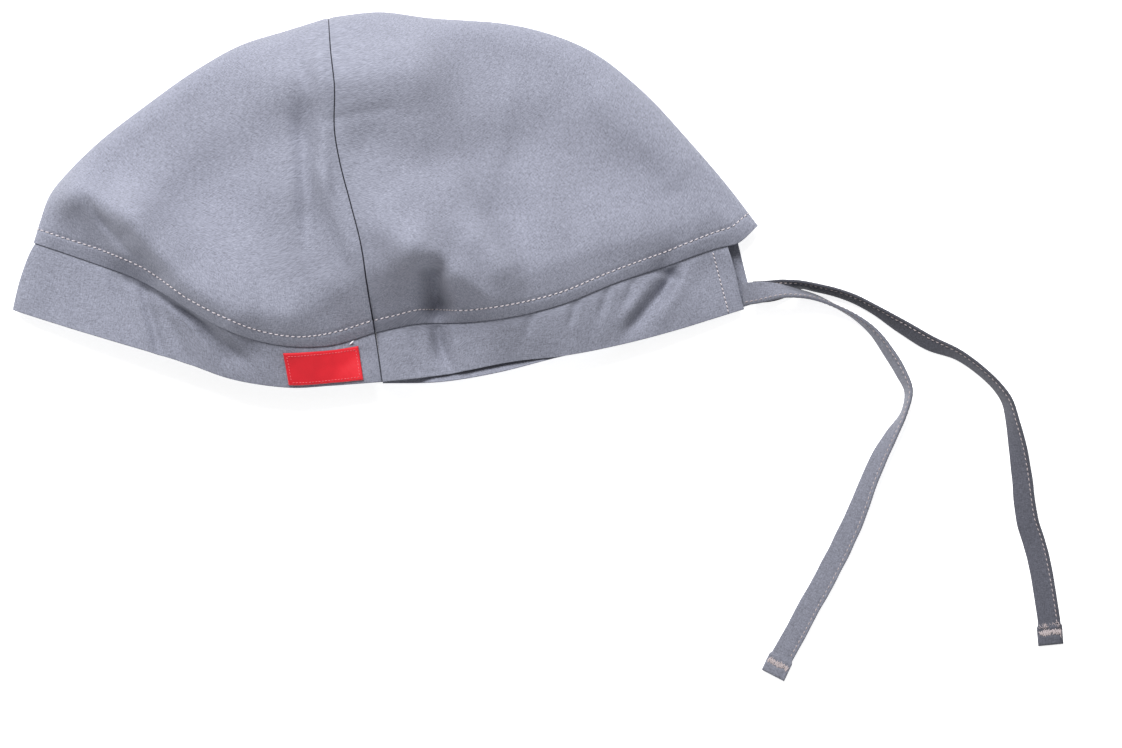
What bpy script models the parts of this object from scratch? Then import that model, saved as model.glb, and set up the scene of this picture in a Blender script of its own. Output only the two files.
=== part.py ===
"""A cloth skull cap lying on its right side: front towards -X, crown towards +Y, mouth towards -Y.

The left half is domed over the right half, which lies flat on the surface at z = 0. The halves
meet at the centre seam, which is the cap's outline from above. Tables are in millimetres.
"""

from collections import namedtuple

import bpy
import numpy as np

MM = 0.001
OBJECT_NAME = "skull_cap"

# Cloth and clearances
CLOTH = 1.2 * MM
PATCH_CLOTH = 0.8 * MM
GAP = 0.35 * MM
SEAM_GAP = 0.5 * MM

# How the cap stands up from the surface
EDGE_HEIGHT = 5.0 * MM
EDGE_REACH = 7.0 * MM
EDGE_RISE = 8.0 * MM
UNDER_REACH = 5.0 * MM
DOME_RISE = 29.0 * MM
DOME_REACH = 88.0 * MM
SHOULDER_ROUND = 0.3
MOUTH_EDGE_RISE = 4.0 * MM
MOUTH_RISE = 6.0 * MM
MOUTH_HEIGHT = EDGE_HEIGHT + MOUTH_EDGE_RISE + MOUTH_RISE
MOUTH_REACH = 100.0 * MM
BAND_END_HEIGHT = 7.0 * MM
BAND_BOW = 0.9 * MM
BAND_BOW_SHARE = 0.12
FOLD_FADE = 12.0 * MM

# How the band tucks under the crown's hem
HEM_OVERLAP = 0.042
TUCK = CLOTH + GAP
TUCK_LENGTH = 0.30
TUCK_LEAST = 0.25 * MM
REAR_END = 0.075

# Where the patch lies on the band: its left, right, upper and lower share
PATCH_ACROSS = (0.748, 0.946)
PATCH_DOWN = (0.20, 0.92)
PATCH_GAP = 0.3 * MM

# The ties
TIE_WIDTH = 8.7 * MM
TIE_THICKNESS = 1.2 * MM
TIE_CORNER = 0.36 * MM
TIE_POINTS = 56
FLOOR_GAP = 0.3 * MM

# How finely the cloth is divided
CURVE_SAMPLES = 240
CURVE_KNOTS = 40
TOP_ROWS = (0.006, 0.022, 0.055, 0.1)
EDGE_COLUMNS_MM = (0.0, 0.25, 1.2, 3.4, 7.0, 13.0)
BAND_ROWS = 6

COLOURS = {
    "crown": (0.36, 0.375, 0.46),
    "band": (0.31, 0.325, 0.40),
    "tie_left": (0.27, 0.275, 0.35),
    "tie_right": (0.13, 0.13, 0.165),
    "patch": (0.72, 0.02, 0.035),
}

Spot = namedtuple("Spot", "x y")
Fold = namedtuple("Fold", "x1 y1 x2 y2 half_width rise")
Shoulder = namedtuple("Shoulder", "across reach hem_share")
TiePoint = namedtuple("TiePoint", "x y lift tilt")

# Centre seam, front half, from the crown's top to the hem
CENTRE_FRONT = (
    Spot(-21.8, 70.3),
    Spot(-36.8, 65.6),
    Spot(-56.0, 59.5),
    Spot(-71.4, 51.0),
    Spot(-90.7, 37.5),
    Spot(-113.8, 19.1),
    Spot(-121.5, 11.4),
    Spot(-129.2, 1.7),
    Spot(-132.6, -7.5),
    Spot(-135.3, -16.4),
)

# Centre seam, rear half, from the crown's top to the tip over the opening
CENTRE_REAR = (
    Spot(-21.8, 70.3),
    Spot(-2.1, 72.4),
    Spot(17.1, 70.1),
    Spot(32.5, 69.1),
    Spot(43.0, 68.3),
    Spot(59.5, 65.1),
    Spot(78.7, 57.6),
    Spot(98.0, 42.9),
    Spot(117.2, 22.5),
    Spot(132.6, 4.4),
    Spot(143.4, -9.8),
)

# Side seam, from the crown's top to the hem
SIDE_SEAM = (
    Spot(-21.8, 70.3),
    Spot(-20.6, 57.6),
    Spot(-18.9, 42.9),
    Spot(-18.9, 26.0),
    Spot(-16.7, 13.3),
    Spot(-12.9, -1.3),
    Spot(-8.5, -19.1),
    Spot(-6.5, -33.3),
    Spot(-3.7, -51.0),
)

# The crown's hem, from the centre front to the side seam
HEM_FRONT = (
    Spot(-135.3, -16.4),
    Spot(-113.8, -23.7),
    Spot(-93.4, -31.4),
    Spot(-79.1, -39.5),
    Spot(-64.9, -47.9),
    Spot(-50.2, -53.7),
    Spot(-35.6, -56.4),
    Spot(-20.6, -56.0),
    Spot(-3.7, -51.0),
)

# The crown's hem, from the rear tip to the side seam
HEM_REAR = (
    Spot(143.4, -9.8),
    Spot(134.9, -16.9),
    Spot(128.8, -18.3),
    Spot(108.8, -25.2),
    Spot(89.1, -31.8),
    Spot(68.7, -40.0),
    Spot(47.9, -45.2),
    Spot(31.4, -47.2),
    Spot(11.0, -47.9),
    Spot(-3.7, -51.0),
)

# The band's lower edge, from the centre front to the side seam, then on to its rear end
MOUTH_FRONT = (
    Spot(-143.4, -42.2),
    Spot(-123.8, -48.3),
    Spot(-99.5, -55.6),
    Spot(-74.9, -63.2),
    Spot(-59.9, -68.6),
    Spot(-45.2, -71.4),
    Spot(-35.6, -72.2),
    Spot(-21.4, -71.4),
    Spot(-1.0, -69.9),
)
MOUTH_REAR_LEFT = (
    Spot(138.0, -42.0),
    Spot(101.4, -53.0),
    Spot(66.4, -60.3),
    Spot(52.2, -61.8),
    Spot(21.0, -67.4),
    Spot(-1.0, -69.9),
)
MOUTH_REAR_RIGHT = (
    Spot(141.5, -39.8),
    Spot(101.4, -52.6),
    Spot(66.4, -60.6),
    Spot(41.8, -66.8),
    Spot(21.0, -70.1),
    Spot(-1.0, -70.4),
)

# Line past the open back that the dome falls away to
REAR_FALL = (Spot(143.4, -9.8), Spot(148.0, -48.0))

# Where the puffed crown turns down to its hem: how far above the hem, and the hem's height there as a
# share of the dome's. Across runs from the centre seam to the side seam
SHOULDERS = {
    "front": (
        Shoulder(0.0, 19.0, 0.60),
        Shoulder(0.13, 21.0, 0.62),
        Shoulder(0.26, 17.0, 0.60),
        Shoulder(0.37, 9.5, 0.62),
        Shoulder(0.50, 6.5, 0.66),
        Shoulder(0.65, 9.0, 0.62),
        Shoulder(0.78, 12.0, 0.56),
        Shoulder(0.90, 20.0, 0.52),
        Shoulder(1.0, 28.0, 0.50),
    ),
    "rear": (
        Shoulder(0.0, 11.0, 0.60),
        Shoulder(0.17, 13.0, 0.58),
        Shoulder(0.30, 15.5, 0.55),
        Shoulder(0.44, 15.0, 0.52),
        Shoulder(0.57, 12.5, 0.52),
        Shoulder(0.69, 12.0, 0.52),
        Shoulder(0.77, 20.0, 0.48),
        Shoulder(0.85, 25.0, 0.45),
        Shoulder(0.94, 24.0, 0.48),
        Shoulder(1.0, 28.0, 0.50),
    ),
}

# Dents and bulges of the left half: a straight run, its half width and its rise
FOLDS = (
    Fold(-24.4, 54.0, -22.8, 6.0, 3.4, 1.3),
    Fold(-22.8, 6.0, -13.5, -18.0, 3.4, 1.5),
    Fold(-31.5, 32.0, -28.5, -14.0, 4.5, -2.2),
    Fold(-34.5, 54.5, -31.0, 49.5, 4.0, -1.2),
    Fold(-84.0, 10.0, -36.0, 38.0, 11.0, -2.2),
    Fold(-88.0, 2.0, -62.0, -26.0, 14.0, 2.5),
    Fold(-114.0, -4.0, -98.0, -15.0, 5.0, -1.8),
    Fold(-98.0, -15.0, -88.0, -29.0, 4.5, -2.2),
    Fold(20.0, -25.0, 21.5, -38.0, 5.0, -3.5),
    Fold(2.0, -12.0, 6.0, -17.0, 7.0, 1.5),
    Fold(30.0, 6.0, 43.0, -26.0, 8.0, 2.0),
    Fold(4.0, 30.0, 44.0, 42.0, 10.0, -2.0),
    Fold(62.0, -12.0, 116.0, -2.0, 13.0, 2.5),
    Fold(120.0, 10.0, 132.0, -2.0, 4.5, -1.5),
    Fold(107.0, -27.0, 98.0, -48.0, 4.0, -1.6),
    Fold(21.0, -50.0, 23.0, -60.0, 4.5, -1.4),
)

# Routes of the ties: how far the middle is lifted off its resting height, and the turn about the route
TIE_LEFT = (
    TiePoint(137.4, -36.2, 7.2, 0),
    TiePoint(142.5, -35.6, 6.9, -14),
    TiePoint(147.5, -35.1, 6.5, -36),
    TiePoint(153.8, -35.1, 6.1, -60),
    TiePoint(159.6, -35.9, 4.1, -73),
    TiePoint(165.6, -37.4, 1.8, -80),
    TiePoint(173.8, -41.0, 0.0, -90),
    TiePoint(181.0, -45.0, 0.0, -97),
    TiePoint(187.8, -50.6, 0.0, -106),
    TiePoint(193.2, -57.8, 0.0, -114),
    TiePoint(198.0, -65.6, 0.0, -114),
    TiePoint(201.2, -73.2, 0.0, -106),
    TiePoint(199.6, -81.4, 0.0, -100),
    TiePoint(194.4, -90.7, 0.0, -120),
    TiePoint(189.5, -99.9, 0.0, -134),
    TiePoint(185.6, -109.1, 0.0, -138),
    TiePoint(182.1, -118.4, 0.0, -148),
    TiePoint(178.1, -127.6, 0.0, -158),
    TiePoint(173.6, -136.9, 0.0, -162),
    TiePoint(168.8, -146.1, 0.0, -164),
    TiePoint(163.7, -155.3, 0.0, -164),
    TiePoint(158.8, -164.6, 0.0, -166),
    TiePoint(153.6, -173.8, 0.0, -170),
    TiePoint(149.0, -182.8, 0.0, -174),
)
TIE_RIGHT = (
    TiePoint(141.6, -35.4, 0.0, 14),
    TiePoint(144.8, -35.2, 0.0, 16),
    TiePoint(148.4, -34.8, 0.0, 20),
    TiePoint(153.8, -33.6, 0.0, 40),
    TiePoint(159.6, -32.5, 0.0, 72),
    TiePoint(165.6, -33.6, 0.0, 73),
    TiePoint(173.6, -35.5, 0.0, 73),
    TiePoint(180.5, -38.0, 0.0, 72),
    TiePoint(188.1, -42.0, 0.0, 70),
    TiePoint(198.9, -48.7, 0.0, 56),
    TiePoint(209.6, -55.0, 0.0, 52),
    TiePoint(220.4, -59.4, 0.0, 66),
    TiePoint(228.9, -65.4, 0.0, 70),
    TiePoint(235.4, -71.6, 0.0, 70),
    TiePoint(239.0, -76.8, 0.0, 66),
    TiePoint(241.5, -86.0, 0.0, 56),
    TiePoint(243.3, -95.3, 0.0, 40),
    TiePoint(244.7, -104.5, 0.0, 30),
    TiePoint(245.7, -113.8, 0.0, 22),
    TiePoint(247.0, -123.0, 0.0, 12),
    TiePoint(249.9, -132.2, 0.0, 6),
    TiePoint(252.0, -141.5, 0.0, 6),
    TiePoint(253.7, -150.7, 0.0, 6),
    TiePoint(255.1, -160.0, 0.0, 4),
    TiePoint(256.2, -171.1, 0.0, 0),
)


def clear_scene():
    for old in list(bpy.data.objects):
        bpy.data.objects.remove(old, do_unlink=True)


def collection(name):
    made = bpy.data.collections.new(name)
    bpy.context.scene.collection.children.link(made)
    return made


def cloth_material(name, colour):
    material = bpy.data.materials.new(name)
    material.use_nodes = True
    shader = material.node_tree.nodes["Principled BSDF"]
    shader.inputs["Base Color"].default_value = (*colour, 1.0)
    shader.inputs["Roughness"].default_value = 0.85
    shader.inputs["Metallic"].default_value = 0.0
    return material


def smooth_curve(points, scale=MM):
    """Close points on a smooth curve through the given ones, each with the mean slope beside it."""
    points = np.array(points, float)
    points[:, :2] *= scale
    steps = np.linalg.norm(np.diff(points[:, :2], axis=0), axis=1)
    at = np.concatenate([[0.0], np.cumsum(steps)])
    slopes = np.gradient(points, at, axis=0)
    fine = np.linspace(0.0, at[-1], CURVE_SAMPLES)
    k = np.clip(np.searchsorted(at, fine, side="right") - 1, 0, len(at) - 2)
    step = (at[k + 1] - at[k])[:, None]
    t = (fine - at[k])[:, None] / step
    start = (1 + 2 * t) * (1 - t) ** 2 * points[k] + t * (1 - t) ** 2 * step * slopes[k]
    end = t**2 * (3 - 2 * t) * points[k + 1] - t**2 * (1 - t) * step * slopes[k + 1]
    return start + end


def along(curve, share):
    """The point at each share of the curve's length."""
    steps = np.linalg.norm(np.diff(curve[:, :2], axis=0), axis=1)
    at = np.concatenate([[0.0], np.cumsum(steps)])
    at /= at[-1]
    return np.stack([np.interp(share, at, column) for column in curve.T], axis=-1)


def run_distance(plan, first, last):
    """Distance from each point of the plan to the straight run between two points."""
    run = last - first
    share = np.clip(((plan - first) @ run) / (run @ run), 0, 1)
    return np.linalg.norm(plan - first - share[..., None] * run, axis=-1)


def curve_distance(plan, curve):
    """Distance from each point of the plan to the nearest run of the curve."""
    knots = curve[:: len(curve) // CURVE_KNOTS]
    return np.min([run_distance(plan, a, b) for a, b in zip(knots, knots[1:])], axis=0)


SIDE = smooth_curve(SIDE_SEAM)
CENTRE = {"front": smooth_curve(CENTRE_FRONT), "rear": smooth_curve(CENTRE_REAR)}
HEM = {"front": smooth_curve(HEM_FRONT), "rear": smooth_curve(HEM_REAR)}
MOUTH = {
    ("front", "left"): smooth_curve(MOUTH_FRONT),
    ("front", "right"): smooth_curve(MOUTH_FRONT),
    ("rear", "left"): smooth_curve(MOUTH_REAR_LEFT),
    ("rear", "right"): smooth_curve(MOUTH_REAR_RIGHT),
}
FRONT_FOLD = np.array([HEM["front"][0], MOUTH["front", "left"][0]])
REAR_LINE = np.array(REAR_FALL) * MM
HEM_WHOLE = np.concatenate([HEM["front"], HEM["rear"][::-1]])


def outline_distance(plan):
    """Distance in from the centre seam, the front fold and the line past the open back."""
    return np.minimum.reduce(
        [
            curve_distance(plan, CENTRE["front"]),
            curve_distance(plan, CENTRE["rear"]),
            run_distance(plan, *FRONT_FOLD),
            run_distance(plan, *REAR_LINE),
        ]
    )


def rolled(distance, reach):
    """From 0 at the edge to 1 at the reach, on a quarter of a circle."""
    return np.sqrt(1 - (1 - np.clip(distance / reach, 0, 1)) ** 2)


def folds(plan, edge_distance):
    """Each fold is a run with a bell-shaped section, and all of them fade out at the centre seam."""
    rise = np.zeros(plan.shape[:-1])
    for fold in FOLDS:
        first = np.array([fold.x1, fold.y1]) * MM
        last = np.array([fold.x2, fold.y2]) * MM
        share = run_distance(plan, first, last) / (fold.half_width * MM)
        rise += fold.rise * MM * np.exp(-(share**2))
    return rise * rolled(edge_distance, FOLD_FADE)


def crown_plan(gore, across, down):
    """The gore from above: across runs from the centre seam to the side seam, down from the top to the hem."""
    centre = along(CENTRE[gore], down)
    side = along(SIDE, down)
    hem = along(HEM[gore], across)
    a = across[..., None]
    chord = (1 - a) * HEM[gore][0] + a * HEM[gore][-1]
    return (1 - a) * centre + a * side + down[..., None] ** 2 * (hem - chord)


def shoulder_share(gore, across, down, plan):
    """Share of the dome's height: even above the shoulder, then straight down to the hem's own share."""
    table = smooth_curve(SHOULDERS[gore], scale=1)
    reach = np.interp(across, table[:, 0], table[:, 1]) * MM
    hem_share = np.interp(across, table[:, 0], table[:, 2])
    above_hem = np.where(down >= 1, 0, curve_distance(plan, HEM_WHOLE)) / reach
    rise = (above_hem + 1 - np.sqrt((above_hem - 1) ** 2 + SHOULDER_ROUND**2)) / 2
    return hem_share + (1 - hem_share) * rise


def crown_form(gore, half, across, down):
    """The outer face of a gore, as points."""
    plan = crown_plan(gore, across, down)
    seam_reach = curve_distance(along(SIDE, down), CENTRE["front"])
    edge = across * np.minimum(seam_reach, curve_distance(along(SIDE, down), CENTRE["rear"]))
    if half == "right":
        height = (EDGE_HEIGHT - SEAM_GAP) * (1 - rolled(edge, UNDER_REACH))
        return np.concatenate([plan, height[..., None]], axis=-1)
    inward = outline_distance(plan)
    dome = EDGE_RISE * rolled(edge, EDGE_REACH)
    dome += DOME_RISE * np.sin(np.pi / 2 * np.clip(inward / DOME_REACH, 0, 1))
    height = EDGE_HEIGHT + dome * shoulder_share(gore, across, down, plan) + folds(plan, edge)
    return np.concatenate([plan, height[..., None]], axis=-1)


def mouth_height(part, half, share):
    """Height of the band's lower edge, share running from the front fold or the rear end to the side seam."""
    length = share * np.linalg.norm(np.diff(MOUTH[part, half], axis=0), axis=1).sum()
    swell = np.sin(np.pi / 2 * np.clip(length / MOUTH_REACH, 0, 1))
    if (part, half) == ("rear", "right"):
        return np.zeros_like(share)
    if (part, half) == ("front", "right"):
        return EDGE_HEIGHT * (1 - rolled(length, UNDER_REACH))
    if (part, half) == ("rear", "left"):
        return BAND_END_HEIGHT + (MOUTH_HEIGHT - BAND_END_HEIGHT) * swell
    return EDGE_HEIGHT + MOUTH_EDGE_RISE * rolled(length, EDGE_REACH) + MOUTH_RISE * swell


def band_form(part, half, share, down):
    """The outer face that the band follows: down is below 0 under the crown, 0 at its hem, 1 at the mouth."""
    first = 0.0 if part == "front" else REAR_END
    across = first + (1 - first) * share
    tucked = crown_form(part, half, across, 1 + np.minimum(down, 0))
    hem = crown_form(part, half, across, np.ones_like(share))
    mouth = along(MOUTH[part, half], share)
    mouth = np.concatenate([mouth, mouth_height(part, half, share)[..., None]], axis=-1)
    w = np.clip(down, 0, 1)
    below = (1 - w[..., None]) * hem + w[..., None] * mouth
    if part == "front":
        below[..., 0] -= BAND_BOW * np.sin(np.pi * w) * (1 - np.clip(share / BAND_BOW_SHARE, 0, 1)) ** 2
    if half == "left":
        own_dents = folds(below[..., :2], share * DOME_REACH) * np.cos(np.pi / 2 * w)
        hem_dents = folds(hem[..., :2], share * DOME_REACH) * (1 - w)
        below[..., 2] += own_dents - hem_dents
    return np.where(down[..., None] < 0, tucked, below)


def normals(points):
    """Unit normals of a grid of points, from the slopes along its rows and columns."""
    along_rows = np.gradient(points, axis=1)
    along_columns = np.gradient(points, axis=0)
    crossed = np.cross(along_rows, along_columns)
    return crossed / np.linalg.norm(crossed, axis=-1, keepdims=True)


def tucked_in(points, down, outward):
    """The band's face: under the crown it lies in by the hem's cloth and a gap, and lower down it comes out."""
    inward = TUCK_LEAST + (TUCK - TUCK_LEAST) * np.clip(1 - down / TUCK_LENGTH, 0, 1) ** 2
    inward = np.where(down < 0, TUCK, inward)
    return points - inward[..., None] * outward


def shell(name, points, material, home, thickness=CLOTH, up=True):
    """A cloth wall behind a grid of points. Its outer face looks up, or down if up is False."""
    rows, columns = points.shape[:2]
    index = np.arange(rows * columns).reshape(rows, columns)
    faces = np.stack(
        [index[:-1, :-1], index[:-1, 1:], index[1:, 1:], index[1:, :-1]], axis=-1
    ).reshape(-1, 4)
    first = np.cross(points[-1, 1] - points[-1, 0], points[-2, 0] - points[-1, 0])
    if (first[2] > 0) == up:
        faces = faces[:, ::-1]
    mesh = bpy.data.meshes.new(name)
    mesh.from_pydata(points.reshape(-1, 3).tolist(), [], faces.tolist())
    mesh.materials.append(material)
    made = bpy.data.objects.new(name, mesh)
    home.objects.link(made)
    wall = made.modifiers.new("wall", "SOLIDIFY")
    wall.thickness = thickness
    wall.offset = -1.0
    wall.use_even_offset = True
    wall.use_rim = True
    return made


def column_shares(count, length):
    """Shares across a gore: close together at the rolled edge, then even."""
    close = np.array(EDGE_COLUMNS_MM) * MM / length
    rest = np.linspace(close[-1], 1, count - len(close) + 1)[1:]
    return np.concatenate([close, rest])


def gore_grid(gore, half, rows, columns):
    """The outer face of a gore, from its tip at the crown's top to its hem, half a seam gap short of its side."""
    even = np.linspace(TOP_ROWS[-1], 1 - HEM_OVERLAP, rows - len(TOP_ROWS) - 1)
    down = np.concatenate([TOP_ROWS[:-1], even, [1 - HEM_OVERLAP / 2, 1.0]])
    length = np.linalg.norm(np.diff(HEM[gore], axis=0), axis=1).sum()
    shares = column_shares(columns, length)
    across, down = np.meshgrid(shares, down)
    width = np.linalg.norm(along(SIDE, down) - along(CENTRE[gore], down), axis=-1)
    across = across * (1 - SEAM_GAP / 2 / width)
    return crown_form(gore, half, across, down)


def band_rows():
    """Two rows under the crown's hem, then even rows from the hem to the mouth."""
    return np.concatenate([[-HEM_OVERLAP, -HEM_OVERLAP / 2], np.linspace(0, 1, BAND_ROWS)])


def band_columns(part, columns):
    """Shares from the front fold, or from the rear end, to the side seam."""
    length = np.linalg.norm(np.diff(HEM[part], axis=0), axis=1).sum()
    shares = column_shares(columns, length) * (1 - SEAM_GAP / 2 / length)
    if part == "front":
        return shares
    shares = shares[shares > REAR_END]
    return np.concatenate([[0.0], (shares - REAR_END) / (1 - REAR_END)])


def band_points(part, half, share, down):
    """The band's form, its outward normals and the row's place, on a grid of shares."""
    share, down = np.meshgrid(share, down)
    form = band_form(part, half, share, down)
    outward = normals(form)
    side = 1 if half == "left" else -1
    outward *= np.sign(outward[..., 2:3].mean() * side)
    return form, outward, down


def band_front(columns):
    """The front strip, from the left side seam round the fold at the front to the right side seam."""
    share = band_columns("front", columns)
    down = band_rows()
    left_share, left_down = np.meshgrid(share[::-1], down)
    right_share, right_down = np.meshgrid(share[1:], down)
    left = band_form("front", "left", left_share, left_down)
    right = band_form("front", "right", right_share, right_down)
    form = np.concatenate([left, right], axis=1)
    down = np.concatenate([left_down, right_down], axis=1)
    outward = normals(form)
    outward *= np.sign(outward[0, 0, 2])
    return tucked_in(form, down, outward)


def band_rear(half, columns):
    """One rear part of the band, from its end at the open back to the side seam."""
    form, outward, down = band_points("rear", half, band_columns("rear", columns), band_rows())
    return tucked_in(form, down, outward)


def patch_points(columns, rows):
    """The patch's outer face: it lies on the band's left side, just in front of the side seam."""
    share = np.linspace(*PATCH_ACROSS, columns)
    down = np.linspace(*PATCH_DOWN, rows)
    form, outward, down = band_points("front", "left", share, down)
    face = tucked_in(form, down, outward)
    return face + (PATCH_GAP + PATCH_CLOTH) * outward


def tie_profile(home):
    """The section of a tie: a flat strip with its corners cut."""
    half_width = TIE_WIDTH / 2
    half_thick = TIE_THICKNESS / 2
    quarter = [(half_width, half_thick - TIE_CORNER), (half_width - TIE_CORNER, half_thick)]
    outline = quarter + [(-x, y) for x, y in reversed(quarter)]
    outline += [(-x, -y) for x, y in quarter] + [(x, -y) for x, y in reversed(quarter)]
    curve = bpy.data.curves.new("tie_profile", "CURVE")
    curve.dimensions = "2D"
    spline = curve.splines.new("POLY")
    spline.points.add(len(outline) - 1)
    for point, (x, y) in zip(spline.points, reversed(outline)):
        point.co = (x, y, 0, 1)
    spline.use_cyclic_u = True
    made = bpy.data.objects.new("tie_profile", curve)
    made.hide_render = True
    made.display_type = "WIRE"
    home.objects.link(made)
    return made


def tie(name, route, profile, material, home):
    """A flat tie along its route, resting on its lower edge wherever it isn't lifted."""
    stations = along(smooth_curve(route), np.linspace(0, 1, TIE_POINTS))
    curve = bpy.data.curves.new(name, "CURVE")
    curve.dimensions = "3D"
    curve.twist_mode = "Z_UP"
    curve.bevel_mode = "OBJECT"
    curve.bevel_object = profile
    curve.use_fill_caps = True
    curve.materials.append(material)
    spline = curve.splines.new("POLY")
    spline.points.add(TIE_POINTS - 1)
    for point, (x, y, lift, tilt) in zip(spline.points, stations):
        turn = np.radians(tilt)
        rest = FLOOR_GAP + TIE_WIDTH / 2 * abs(np.sin(turn)) + TIE_THICKNESS / 2 * abs(np.cos(turn))
        point.co = (x, y, rest + lift * MM, 1)
        point.tilt = turn
    made = bpy.data.objects.new(name, curve)
    home.objects.link(made)
    return made


def main():
    clear_scene()
    parts = collection(OBJECT_NAME)
    guides = collection("guides")
    materials = {name: cloth_material(name, colour) for name, colour in COLOURS.items()}
    for gore in ("front", "rear"):
        left = gore_grid(gore, "left", rows=22, columns=22)
        shell(f"crown_{gore}_left", left, materials["crown"], parts)
        right = gore_grid(gore, "right", rows=12, columns=22)
        shell(f"crown_{gore}_right", right, materials["crown"], parts, up=False)
    shell("band_front", band_front(22), materials["band"], parts)
    shell("band_rear_left", band_rear("left", 22), materials["band"], parts)
    shell("band_rear_right", band_rear("right", 22), materials["band"], parts, up=False)
    shell("label", patch_points(7, 4), materials["patch"], parts, thickness=PATCH_CLOTH)
    profile = tie_profile(guides)
    tie("tie_left", TIE_LEFT, profile, materials["tie_left"], parts)
    tie("tie_right", TIE_RIGHT, profile, materials["tie_right"], parts)


main()
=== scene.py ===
"""The looks of a cloth skull cap that lies on its right side, with its two ties laid out beside it.

The frame is the solids' own: -X is the cap's front, +Y its crown, -Y its mouth and +Z is up to the camera.
Lengths in the tables are millimetres, and everything else is metres.
"""

import logging
import math
from collections.abc import Callable, Iterable, Sequence
from dataclasses import dataclass, replace
from enum import Enum
from functools import cached_property
from typing import NamedTuple, TypeVar

import bpy
import numpy as np
from numpy.typing import NDArray
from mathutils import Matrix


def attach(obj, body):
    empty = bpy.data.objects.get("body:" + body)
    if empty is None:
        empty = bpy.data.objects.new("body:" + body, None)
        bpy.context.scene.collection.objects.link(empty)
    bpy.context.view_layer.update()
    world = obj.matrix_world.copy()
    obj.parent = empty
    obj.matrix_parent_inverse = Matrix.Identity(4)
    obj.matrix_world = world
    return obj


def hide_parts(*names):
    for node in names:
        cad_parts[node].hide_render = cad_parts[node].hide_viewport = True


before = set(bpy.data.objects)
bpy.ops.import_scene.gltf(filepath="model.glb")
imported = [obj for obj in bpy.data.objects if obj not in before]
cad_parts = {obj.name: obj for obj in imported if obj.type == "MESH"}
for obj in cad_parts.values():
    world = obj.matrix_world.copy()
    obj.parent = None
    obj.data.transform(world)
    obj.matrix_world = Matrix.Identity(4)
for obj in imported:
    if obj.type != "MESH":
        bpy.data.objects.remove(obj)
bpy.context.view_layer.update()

Array = NDArray[np.float64]
Indices = NDArray[np.int64]
Colour = tuple[float, float, float]
Row = TypeVar("Row")

MM = 0.001
BODY = "root"
LATTICE = 96
log = logging.getLogger("skull_cap")


class Part(Enum):
    """The front or the rear of the crown and the band."""

    FRONT = "front"
    REAR = "rear"


class Half(Enum):
    """The domed left half, on top, or the flat right half, on the floor."""

    LEFT = "left"
    RIGHT = "right"

    @property
    def up(self) -> Array:
        """The direction that its outer faces look towards."""
        return np.array([0, 0, 1.0 if self is Half.LEFT else -1.0])


class Slot(Enum):
    """The record's material slots."""

    CROWN = "crown_cloth"
    BAND = "band_cloth"
    LABEL = "label_cloth"
    TIE = "tie_cloth"


class Spot(NamedTuple):
    """A point of an outline, seen from above."""

    x: float
    y: float


class Fold(NamedTuple):
    """A dent or bulge: a straight run, its half width and its rise."""

    x1: float
    y1: float
    x2: float
    y2: float
    half_width: float
    rise: float


class Shoulder(NamedTuple):
    """Where the crown turns down to its hem: the reach above it, and the hem's share of the height."""

    across: float
    reach: float
    hem_share: float


class HemWidth(NamedTuple):
    """The sewn hem's width at a share across a gore."""

    across: float
    width: float


class TiePoint(NamedTuple):
    """A point of a tie's route: the lift of its middle off its resting height, and its turn in degrees."""

    x: float
    y: float
    lift: float
    tilt: float


def listed(kind: Callable[..., Row], *rows: tuple[float, ...]) -> tuple[Row, ...]:
    """A table's rows, each value under its column's name."""
    return tuple(kind(*row) for row in rows)


# Centre seam from the crown's top: forwards to the hem, and backwards to the tip over the opening
CENTRE_FRONT = listed(
    Spot,
    (-21.8, 70.3),   (-36.8, 65.6),   (-56, 59.5),     (-71.4, 51),     (-90.7, 37.5),   (-113.8, 19.1),
    (-121.5, 11.4),  (-129.2, 1.7),   (-132.6, -7.5),  (-135.3, -16.4),
)
CENTRE_REAR = listed(
    Spot,
    (-21.8, 70.3), (-2.1, 72.4),  (17.1, 70.1),  (32.5, 69.1),  (43, 68.3),    (59.5, 65.1),
    (78.7, 57.6),  (98, 42.9),    (117.2, 22.5), (132.6, 4.4),  (143.4, -9.8),
)

# Side seam, from the crown's top to the hem
SIDE_SEAM = listed(
    Spot,
    (-21.8, 70.3), (-20.6, 57.6), (-18.9, 42.9), (-18.9, 26),   (-16.7, 13.3), (-12.9, -1.3),
    (-8.5, -19.1), (-6.5, -33.3), (-3.7, -51),
)

# The crown's hem, from the centre front and from the rear tip to the side seam
HEM_FRONT = listed(
    Spot,
    (-135.3, -16.4), (-113.8, -23.7), (-93.4, -31.4),  (-79.1, -39.5),  (-64.9, -47.9),  (-50.2, -53.7),
    (-35.6, -56.4),  (-20.6, -56),    (-3.7, -51),
)
HEM_REAR = listed(
    Spot,
    (143.4, -9.8),  (134.9, -16.9), (128.8, -18.3), (108.8, -25.2), (89.1, -31.8),  (68.7, -40),
    (47.9, -45.2),  (31.4, -47.2),  (11, -47.9),    (-3.7, -51),
)

# The band's lower edge, from the centre front and from its rear ends to the side seam
MOUTH_FRONT = listed(
    Spot,
    (-143.4, -42.2), (-123.8, -48.3), (-99.5, -55.6),  (-74.9, -63.2),  (-59.9, -68.6),  (-45.2, -71.4),
    (-35.6, -72.2),  (-21.4, -71.4),  (-1, -69.9),
)
MOUTH_REAR_LEFT = listed(
    Spot,
    (138, -42),    (101.4, -53),  (66.4, -60.3), (52.2, -61.8), (21, -67.4),   (-1, -69.9),
)
MOUTH_REAR_RIGHT = listed(
    Spot,
    (141.5, -39.8), (101.4, -52.6), (66.4, -60.6),  (41.8, -66.8),  (21, -70.1),    (-1, -70.4),
)

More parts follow.
